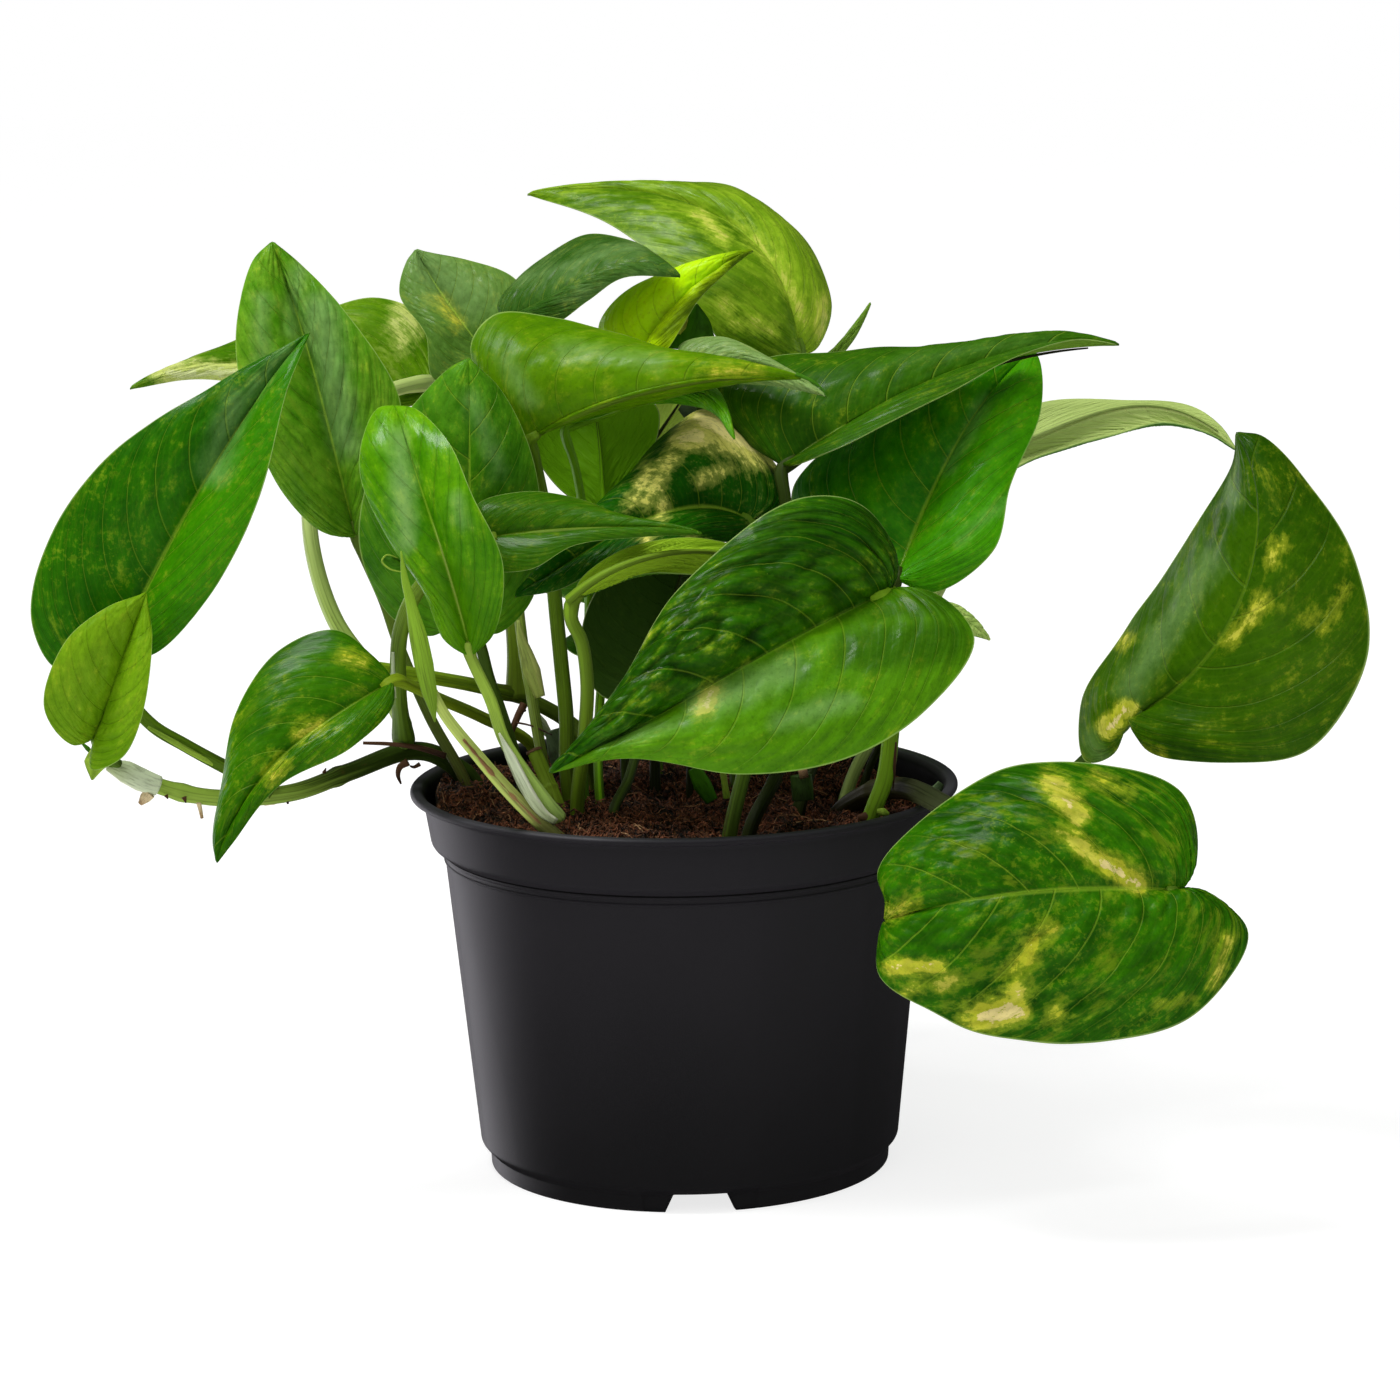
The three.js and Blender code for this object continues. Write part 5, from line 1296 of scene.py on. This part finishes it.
SHEATH, ROOT, PALE_ROOT, YOUNG, BLADE, DULL, STUB, GOLD, CUT, FLAP, SCAB = range(11)
STRIPS = [  # finish, depths, flatness, half widths, pixels
    (SHEATH, (-33, -37), 0.8, (2.2, 2.5, 2.4, 1.2),
     [(158, 786), (142, 780), (126, 772), (108, 765)]),
    (YOUNG, (-27, -34), 0.5, (0.3, 0.6, 0.6, 0.3),
     [(226, 771), (200, 757), (172, 741), (148, 727)]),
    (YOUNG, (-38, -43), 0.25, (1.6, 2.2, 2.4, 0.2), [(112, 738), (103, 750), (96, 762), (92, 780)]),
    (BLADE, (-36,), 0.5, (0.2, 0.5, 0.4), [(81, 742), (87, 748), (94, 755)]),
    (PALE_ROOT, (-34,), 0.9, (1.3, 1.2, 0.5), [(150, 793), (145, 798), (140, 804)]),
    (ROOT, (-32,), 0.9, (0.5, 0.1), [(166, 795), (168, 799)]),
    (ROOT, (-32,), 0.9, (0.6, 0.1), [(184, 797), (186, 803)]),
    (PALE_ROOT, (-29, -32), 0.9, (0.6, 0.45, 0.35), [(198, 800), (200, 808), (202, 818)]),
    (PALE_ROOT, (-22,), 0.6, (0.4, 0.8, 0.6, 0.2),
     [(264, 804), (274, 801), (284, 799), (292, 798)]),
    (ROOT, (-23,), 0.9, (0.3, 0.5, 0.2), [(282, 796), (287, 800), (288, 804)]),
    (ROOT, (-14,), 0.9, (0.5, 0.1), [(324, 773), (326, 768)]),
    (ROOT, (-8,), 0.9, (0.35, 0.45, 0.6, 0.7), [(363, 743), (390, 744), (420, 748), (446, 756)]),
    (ROOT, (-6,), 0.9, (0.9, 0.7, 0.5, 0.2), [(408, 762), (400, 767), (398, 775), (401, 784)]),
    (ROOT, (-4,), 0.9, (0.5, 0.4, 0.2), [(420, 764), (414, 767), (410, 766)]),
    (BLADE, (-40,), 0.15, (0.6, 1.5, 1.5, 0.5), [(404, 566), (396, 565), (389, 562), (383, 558)]),
    (YOUNG, (-41,), 0.9, (0.12, 0.2, 0.2, 0.1),
     [(402, 572), (390, 569), (382, 561), (387, 555), (398, 558)]),
    (SHEATH, (-24,), 0.6, (0.3, 0.45, 0.3), [(393, 652), (393, 672), (395, 698)]),
    (FLAP, (-6, -4), 0.15, (0.3, 1.2, 1.9, 1.2), [(518, 620), (522, 640), (527, 655), (540, 697)]),
    (ROOT, (4, 0), 0.9, (0.9, 0.8, 0.7, 0.5), [(524, 704), (518, 716), (512, 730), (506, 744)]),
    (ROOT, (3,), 0.9, (0.5, 0.3), [(519, 712), (526, 710)]),
    (ROOT, (2, -4), 0.9, (0.25, 0.2, 0.15), [(514, 722), (532, 726), (552, 735)]),
    (SHEATH, (16,), 0.2, (0.9, 1.4, 0.8), [(533, 712), (541, 724), (550, 736)]),
    (DULL, (12,), 0.2, (1.6, 2.6, 2.2), [(552, 730), (558, 748), (564, 772)]),
    (SHEATH, (-49.5, -49, -47), 0.2, (0.2, 1.1, 1.3, 1.2, 0.8),
     [(499, 733), (512, 760), (528, 792), (544, 814), (556, 822)]),
    (STUB, (-28,), 0.5, (2.3, 2.4, 2.3), [(801, 775), (802, 786), (803, 800)]),
    (CUT, (-29,), 0.5, (1.0, 0.9), [(799, 775), (808, 773)]),
    (DULL, (-10,), 0.35, (1.3, 1.3, 0.8), [(929, 800), (935, 792), (941, 783)]),
    (YOUNG, (-37,), 0.8, (0.5, 0.9, 0.3), [(877, 811), (883, 812), (889, 814)]),
    (ROOT, (-34,), 0.6, (0.6, 1.4, 0.6), [(858, 818), (868, 817), (880, 816)]),
    (ROOT, (-32,), 0.5, (0.2, 0.35, 0.3, 0.1), [(896, 742), (895, 758), (894, 774), (893, 790)]),
    (BLADE, (20,), 0.06, (6.0, 5.4, 3.0, 0.2), [(691, 350), (692, 338), (696, 322), (697, 304)]),
    (GOLD, (19,), 0.06, (0.5, 1.2, 1.1, 0.3), [(678, 334), (681, 326), (684, 318), (687, 312)]),
    (BLADE, (-15, -19), 0.6, (0.45, 0.35, 0.25, 0.1),
     [(796, 374), (812, 381), (822, 389), (827, 398)]),
    (BLADE, (-8,), 0.3, (1.4, 2.0, 1.4), [(694, 768), (702, 784), (712, 801)]),
    (DULL, (26,), 0.06, (2.0, 3.0, 2.0), [(683, 402), (692, 408), (703, 414)]),
    (YOUNG, (-7,), 0.9, (0.7, 0.7, 0.8), [(723, 772), (725, 786), (727, 798)]),
]
sheath = Shape()
add_strip(sheath, 0, (-49, -50, -52), 0.6, (0.15, 0.8, 1.2, 1.9, 2.0, 1.6, 0.2), [
    (401, 551), (405, 580), (410, 600), (419, 640), (427, 680), (432, 705), (435, 722)])
piece("sheath_front_fine", sheath, [stalk_finish("sheath_front", (130, 170, 44), (108, 142, 34))],
      ["sheath_front"])
growth = Shape()
for row in STRIPS:
    add_strip(growth, *row)
shoot = through(VINES["shoot_front"]["path"], 60)[8:44]
scab = (0.2 + 0.5 * lumps(shoot, 2.0, 8)).clip(0.02, 0.6)
add_tube(growth, tube(shoot + to_camera * 1.5, scab, sides=8) * MM, SCAB)
stub_end = np.array(VINES["stub_01"]["path"][-1], float)
stub_way = unit(stub_end - np.array(VINES["stub_01"]["path"][-2], float))
rim_route = stub_end + stub_way * np.linspace(-0.5, 0.25, 6)[:, None]
add_tube(growth, tube(rim_route, [1.6, 1.8, 1.85, 1.85, 1.8, 1.5], sides=24) * MM, CUT)
GROWTH = [stalk_finish(name, *tones) for name, *tones in (
    ("sheath", (196, 208, 172), (170, 184, 134)), ("root", (82, 54, 34), (48, 30, 20)),
    ("pale_root", (214, 194, 150), (168, 138, 98)), ("young", (150, 182, 60), (126, 160, 46)),
    ("small_blade", (62, 118, 8), (46, 96, 6)), ("dull", (84, 102, 70), (60, 78, 46)),
    ("stub", (50, 74, 26), (38, 54, 18)), ("gold_streak", (176, 190, 60), (150, 172, 50)),
    ("cut", (118, 90, 62), (86, 62, 42)),
    ("flap", (204, 222, 116), (186, 204, 96)), ("scab", (150, 116, 74), (118, 84, 52)))]
piece("small_growth", growth, GROWTH, ())

# %% [markdown]
# The pot is moulded in one go, so it is one profile turned round the axis. A small curve at every
# corner of the profile catches the light as the real edges do. The three drainage notches lift the
# foot's lower edge where they are.

# %% Pot
PROFILE = [  # radius, height, corner radius, from the middle of the underside round to the floor
    (0.6, 4.0, 0), (39.6, 4.0, 0.3), (41.9, 4.0, 0.3), (41.9, 0.0, 0.3), (44.2, 0.0, 0.15),
    (44.4, 3.6, 0.3), (46.4, 5.6, 0.6), (52.7, 69.0, 0.1), (53.05, 69.2, 0.1), (53.05, 69.5, 0.1),
    (52.8, 69.7, 0.1), (52.9, 70.5, 0.1), (53.25, 70.7, 0.1), (53.25, 71.0, 0.1), (53.2, 71.3, 0.2),
    (55.7, 73.0, 0.9), (57.2, 82.2, 0.3), (57.6, 83.0, 0.3), (60.1, 83.7, 0.3), (60.1, 84.5, 0.3),
    (59.6, 85.0, 0.3), (57.9, 85.0, 0.4), (56.2, 83.0, 0.6), (54.2, 72.4, 0.8), (51.2, 68.4, 0.8),
    (43.5, 7.5, 0.8), (42.4, 5.6, 0.6), (0.6, 5.6, 0)]
NOTCH_TOP = 11.4
NOTCH_FOOT = 15.0
NOTCH_HEIGHT = 3.9
UNDER_FLOOR = 3.98  # the foot's edge is squeezed up to here in the notches, never quite flat
PANEL_WIDTH = 25.0
PANEL_DEPTH = 0.45
PANEL_TOP = 5.4
PANEL_EDGE = 0.5
NOTCH_RADIUS = 43.4
PANEL_RADIUS = 43.5
FINE_REACH = 13.5  # so far to each side of a notch the columns stand closer
CORNER_ROWS = 4
INSIDE = PROFILE.index((56.2, 83.0, 0.6))  # the corner from which on the profile runs inside
NOTCH_TURNS = [math.radians(2.9 + 120 * i - 90) for i in range(3)]


def rounded(profile):
    """The profile with each corner replaced by a curve that starts and ends its radius away."""
    points = np.array([row[:2] for row in profile], float)
    reach = np.array([row[2] for row in profile], float)
    made = [points[:1]]
    for i in range(1, len(points) - 1):
        before, after = unit(points[i - 1] - points[i]), unit(points[i + 1] - points[i])
        s = np.linspace(0, 1, CORNER_ROWS)[:, None]
        start, end = points[i] + before * reach[i], points[i] + after * reach[i]
        made.append((1 - s) ** 2 * start + 2 * s * (1 - s) * points[i] + s**2 * end)
    return np.vstack(made + [points[-1:]])


def from_notch(turn, middle, radius):
    """How far along the foot a direction is from a notch's middle, in millimetres."""
    return np.abs((turn - middle + math.pi) % (2 * math.pi) - math.pi) * radius


def notch_lift(turn):
    """How high the foot's edge is lifted: full under the notch's top, sloping at its sides."""
    lift = np.zeros_like(turn)
    for middle in NOTCH_TURNS:
        away = from_notch(turn, middle, NOTCH_RADIUS)
        slope = (NOTCH_FOOT / 2 - away) / ((NOTCH_FOOT - NOTCH_TOP) / 2)
        lift = np.maximum(lift, NOTCH_HEIGHT * slope.clip(0, 1))
    return lift


def panel_depth(turn, height):
    """The shallow panel round each notch, with steep sides."""
    depth = np.zeros(np.broadcast(turn, height).shape)
    for middle in NOTCH_TURNS:
        away = from_notch(turn, middle, PANEL_RADIUS)
        beside = ((PANEL_WIDTH / 2 - away) / PANEL_EDGE).clip(0, 1)
        below = ((PANEL_TOP - height) / PANEL_EDGE).clip(0, 1)
        depth = np.maximum(depth, PANEL_DEPTH * (beside * below))
    return depth


even_turns = np.linspace(-math.pi, math.pi, 256, endpoint=False)
near_notch = np.linspace(-FINE_REACH, FINE_REACH, 109) / PANEL_RADIUS
edge_turns = np.add.outer(NOTCH_TURNS, near_notch).ravel()
turns = np.sort(np.r_[even_turns, (edge_turns + math.pi) % (2 * math.pi) - math.pi])
outline = rounded(PROFILE)
rows, profile_radius, profile_height = np.arange(len(outline)), outline[:, 0], outline[:, 1]
radius_grid = np.repeat(outline[:, :1], len(turns), axis=1)
height_grid = np.repeat(outline[:, 1:], len(turns), axis=1)
on_foot = (rows < 30) & (profile_radius > 41.0) & (profile_height < UNDER_FLOOR)
lift = notch_lift(turns[None])
height_grid[on_foot] = lift + height_grid[on_foot] * (1 - lift / UNDER_FLOOR)
outer = (rows > 13) & (rows < 40) & (profile_radius > 42.5) & (profile_height < 6.0)
radius_grid[outer] -= panel_depth(turns[None], height_grid)[outer]
pot_points = np.stack([radius_grid * np.cos(turns), radius_grid * np.sin(turns), height_grid], -1)
pot_places = np.stack(np.broadcast_arrays(turns / 6.3, height_grid / 90), axis=-1)
pot_marks = np.zeros((*radius_grid.shape, len(MARKS)))
# The inside rows carry the mark that the finish turns into painted shade.
pot_marks[CORNER_ROWS * (INSIDE - 1) + 1:, :, 0] = 1
pot_shape = Shape()
pot_shape.add(pot_points * MM, capped(*radius_grid.shape), 0, pot_places, pot_marks)
print("pot grid:", radius_grid.shape)

# %% [markdown]
# The plastic is satin black. Its inside wall is given painted shade: a darker colour, and a dull
# shader in place of the shiny one, stand in for the plant's own shade over it.

# %% Pot finish


def pot_finish():
    """Black moulded plastic: satin, with a fine grain, faint flow lines and a little dust."""
    f = Finish("black_plastic")
    where = f.here()
    grain = f.noise(where, 2600.0, 2.0, 0.6)
    flow = f.noise(where, 30.0, 4.0)
    dust = f.noise(where, 700.0, 4.0, 0.75)
    z = f.node("ShaderNodeSeparateXYZ", None, {"Vector": where}, 2)
    # The tone drifts at random with the flow lines and grows lighter up the wall; the lightening
    # with height is painted light.
    tone = f.mix(seen(21, 20, 22), seen(36, 34, 38), swing(flow, 0.4) + z.rise(0.0, 0.075))
    # Painted shade on the inside wall, with a dull shader there.
    inside_shade = f.attribute("mark") * z.rise(0.066, 0.070)
    # The lip's upward face is painted lighter: painted light.
    tone = f.mix(tone, seen(56, 55, 60), z.rise(0.0843, 0.0849))
    tone = f.mix(tone, seen(12, 11, 12), inside_shade)
    tone = f.mix(tone, seen(74, 66, 60), dust.rise(0.68, 0.82) * 0.2)
    rough = flow * 0.1 + grain * 0.06 + 0.46
    bump = f.bump(grain + flow * 0.6, 0.05 * MM, 0.5)
    plastic = f.node("ShaderNodeBsdfPrincipled", None, {
        "Base Color": tone, "Roughness": rough, "Normal": bump, "Specular IOR Level": 0.3})
    shaded = f.node("ShaderNodeBsdfDiffuse", None, {"Color": seen(12, 11, 12)})
    both = f.node("ShaderNodeMixShader", None, {0: inside_shade * 0.8, 1: plastic, 2: shaded})
    f.node("ShaderNodeOutputMaterial", None, {"Surface": both})
    return f.material


piece("pot_fine", pot_shape, [pot_finish()], ["pot"])

# %% [markdown]
# The soil is coir: crumbs and fibres. The bed is a disc with lumps at four sizes. Over it lie loose
# fibres, thin bent strands, and crumbs, all placed by seeded draws.

# %% Soil bed
SOIL_EDGE = 54.6
SOIL_RINGS, SOIL_TURNS = 150, 420


def soil_height(x, y):
    """The soil's level in millimetres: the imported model's, with lumps of 16, 6, 2.2 and 1.1 mm."""
    level = 80 - 0.05 * x + 1.2 * np.sin(x / 9) * np.cos(y / 11)
    spot = np.stack([x, y, np.zeros_like(x)], axis=-1)
    rough = 1.1 * lumps(spot, 16.0, 3) + 1.0 * lumps(spot, 6.0, 4) + 0.8 * lumps(spot, 2.2, 5)
    return level + rough + 0.5 * lumps(spot, 1.1, 6)


ring = np.linspace(0.002, 1, SOIL_RINGS)[:, None]
angle = np.linspace(0, 2 * math.pi, SOIL_TURNS, endpoint=False)[None, :]
soil_x, soil_y = SOIL_EDGE * ring * np.cos(angle), SOIL_EDGE * ring * np.sin(angle)
bed = np.stack([soil_x, soil_y, soil_height(soil_x, soil_y)], axis=-1)
skirt = bed[-1:] * [0.9, 0.9, 0] + [0, 0, 74.0]
soil_shape = Shape()
soil_shape.add(np.vstack([bed, skirt])[::-1] * MM, capped(SOIL_RINGS + 1, SOIL_TURNS), 0)


def soil_finish(name, dark, warm, fleck):
    """Dark reddish brown with paler fibre flecks."""
    f = Finish(name)
    where = f.here()
    clump = f.noise(where, 160.0, 4.0, 0.65)
    fibre = f.noise(where, 1100.0, 3.0, 0.7)
    tone = f.mix(seen(*dark), seen(*warm), (clump * 0.5 + fibre * 0.5).rise(0.44, 0.58))
    tone = f.mix(tone, seen(*fleck), fibre.rise(0.58, 0.68) * 0.7)
    return f.surface(tone, fibre * 0.2 + 0.75, f.bump(fibre + clump, 0.7 * MM, 1.0))


SOIL = soil_finish("coir", (9, 6, 2), (98, 58, 30), (172, 122, 74))
piece("soil_fine", soil_shape, [SOIL], ["soil"])

# %% Fibres and crumbs
STRAND_POINTS, STRAND_SIDES = 8, 3


def strands(count, length, thickness, seed):
    """Thin three-sided strands, each bent both ways and laid on the soil with its middle raised."""
    rng = np.random.default_rng(seed)
    far = SOIL_EDGE * 0.985 * np.sqrt(rng.random(count))
    turn = rng.random(count) * 2 * math.pi
    middle = np.stack([far * np.cos(turn), far * np.sin(turn)], axis=-1)
    heading = rng.random(count) * 2 * math.pi
    size = length * (0.4 + 0.9 * rng.random(count))
    bend = rng.normal(0, 0.9, count)
    s = np.linspace(-0.5, 0.5, STRAND_POINTS)[None, :]
    way = heading[:, None] + bend[:, None] * 2 * s + rng.normal(0, 0.5, (count, 1)) * np.sin(6 * s)
    step = size[:, None] / (STRAND_POINTS - 1)
    back = 0.5 * size * np.stack([np.cos(heading), np.sin(heading)])
    x = middle[:, :1] + np.cumsum(np.cos(way) * step, axis=1) - back[0][:, None]
    y = middle[:, 1:] + np.cumsum(np.sin(way) * step, axis=1) - back[1][:, None]
    reach = np.hypot(x, y)
    shrink = np.minimum(1, SOIL_EDGE * 0.99 / np.maximum(reach, 1e-6))
    x, y = x * shrink, y * shrink
    arch = rng.random((count, 1)) * 1.6 * (1 - (2 * s) ** 2)
    lift = arch + rng.normal(0, 0.35, (count, STRAND_POINTS)) + 0.25
    path = np.stack([x, y, soil_height(x, y) + lift], axis=-1)
    forward = unit(np.gradient(path, axis=1))
    side = unit(np.cross(forward, [0.0, 0.0, 1.0]))
    over = np.cross(side, forward)
    angle = np.arange(STRAND_SIDES) * 2 * math.pi / STRAND_SIDES
    taper = (1 - 0.75 * np.abs(2 * s) ** 3)[..., None, None]
    thick = thickness * (0.5 + rng.random((count, 1, 1, 1))) * taper
    skin = (path[:, :, None] + thick * (np.cos(angle)[:, None] * side[:, :, None]
                                       + np.sin(angle)[:, None] * over[:, :, None]))
    starts = np.arange(count)[:, None] * STRAND_POINTS * STRAND_SIDES
    body, *ends = capped(STRAND_POINTS, STRAND_SIDES)
    faces = (body[None] + starts[:, :, None]).reshape(-1, 4)
    return skin.reshape(-1, 3), [faces, *(starts + end for end in ends)]


def crumbs(count, size, seed):
    """Small uneven eight-sided lumps pressed into the soil."""
    rng = np.random.default_rng(seed)
    far = SOIL_EDGE * 0.98 * np.sqrt(rng.random(count))
    turn = rng.random(count) * 2 * math.pi
    x, y = far * np.cos(turn), far * np.sin(turn)
    middle = np.stack([x, y, soil_height(x, y) + 0.2], axis=-1)
    tips = np.array([[1, 0, 0], [0, 1, 0], [-1, 0, 0], [0, -1, 0], [0, 0, 1], [0, 0, -1]], float)
    reach = size * (0.4 + rng.random((count, 6, 1)))
    points = middle[:, None] + tips[None] * reach
    face = np.array([[0, 1, 4], [1, 2, 4], [2, 3, 4], [3, 0, 4],
                     [1, 0, 5], [2, 1, 5], [3, 2, 5], [0, 3, 5]])
    faces = (face[None] + (np.arange(count) * 6)[:, None, None]).reshape(-1, 3)
    return points.reshape(-1, 3), [faces]


litter = Shape()
for count, length, thickness, seed, finish in (
        (2200, 5.0, 0.17, 1, 0), (1500, 7.0, 0.14, 2, 1), (80, 14.0, 0.15, 3, 2)):
    points, faces = strands(count, length, thickness, seed)
    litter.add(points * MM, faces, finish)
for count, size, seed, finish in ((2600, 0.8, 4, 0), (1400, 0.6, 5, 1)):
    points, faces = crumbs(count, size, seed)
    litter.add(points * MM, faces, finish)
LITTER = [soil_finish("fibre_dark", (14, 9, 4), (106, 62, 34), (166, 112, 70)),
          soil_finish("fibre_warm", (58, 30, 16), (132, 74, 44), (176, 122, 80)),
          soil_finish("fibre_pale", (140, 100, 66), (178, 136, 94), (196, 160, 116))]
piece("soil_fibres", litter, LITTER, ())

# %% [markdown]
# A pale floor and soft light. The photograph was lit from all round, most from above and the left,
# with a white field behind. Two low softboxes stand behind the plant: the left one gives the pot's
# wall its slow change from grey to black, and the weak right one edges it.

# %% Stage
scene = bpy.context.scene
scene.view_settings.view_transform = "Standard"

floor_mesh = bpy.data.meshes.new("floor")
floor_mesh.from_pydata([(-4, -4, 0), (4, -4, 0), (4, 4, 0), (-4, 4, 0)], [], [(0, 1, 2, 3)])
floor = bpy.data.objects.new("floor", floor_mesh)
scene.collection.objects.link(floor)
f = Finish("floor_paper")
floor_mesh.materials.append(f.surface(seen(160, 160, 160), 0.9, **{
    "Emission Color": (1.0, 1.0, 1.0, 1.0), "Emission Strength": 0.78, "Specular IOR Level": 0.0}))
floor.visible_glossy = False


def softbox(name, place, target, size, power):
    """A square area light that looks at the target."""
    data = bpy.data.lights.new(name, "AREA")
    data.shape = "SQUARE"
    data.size = size
    data.energy = power
    lamp = bpy.data.objects.new(name, data)
    scene.collection.objects.link(lamp)
    back = unit(np.array(place, float) - np.array(target, float))
    right = unit(np.cross([0, 0, 1], back))
    frame_axes = np.eye(4)
    frame_axes[:3, 0], frame_axes[:3, 1] = right, np.cross(back, right)
    frame_axes[:3, 2], frame_axes[:3, 3] = back, place
    lamp.matrix_world = Matrix(frame_axes.tolist())
    return lamp


MIDDLE = (0.0, 0.0, 0.12)
softbox("key", (-0.45, -0.2, 1.2), MIDDLE, 0.35, 9.0)
softbox("left", (-0.9, 0.75, -0.05), MIDDLE, 1.0, 7.5).data.color = (0.985, 0.955, 1.03)
softbox("right", (1.15, 0.7, 0.0), MIDDLE, 0.5, 0.8)

sun_data = bpy.data.lights.new("sky", "SUN")
sun_data.energy = 1.15
sun_data.angle = math.radians(70)
sun = bpy.data.objects.new("sky", sun_data)
scene.collection.objects.link(sun)
sun.rotation_euler = (math.radians(30), 0.0, math.radians(-20))
sun.visible_glossy = False

# %% [markdown]
# The world is white where the camera sees it, grey as a source of soft light, and nearly dark in
# reflections, so that dark leaves and the black pot keep their depth.

# %% World
f = Finish("studio", bpy.data.worlds.new("studio"))
scene.world = f.material


def white_field(strength):
    """White from all round."""
    return f.node("ShaderNodeBackground", None, {"Color": (1, 1, 1, 1), "Strength": strength})


in_gloss = f.node("ShaderNodeLightPath", output="Is Glossy Ray")
in_view = f.node("ShaderNodeLightPath", output="Is Camera Ray")
light = f.node("ShaderNodeMixShader", None,
               {0: in_gloss, 1: white_field(0.3), 2: white_field(0.03)})
field = f.node("ShaderNodeMixShader", None, {0: in_view, 1: light, 2: white_field(1.0)})
f.node("ShaderNodeOutputWorld", None, {"Surface": field})
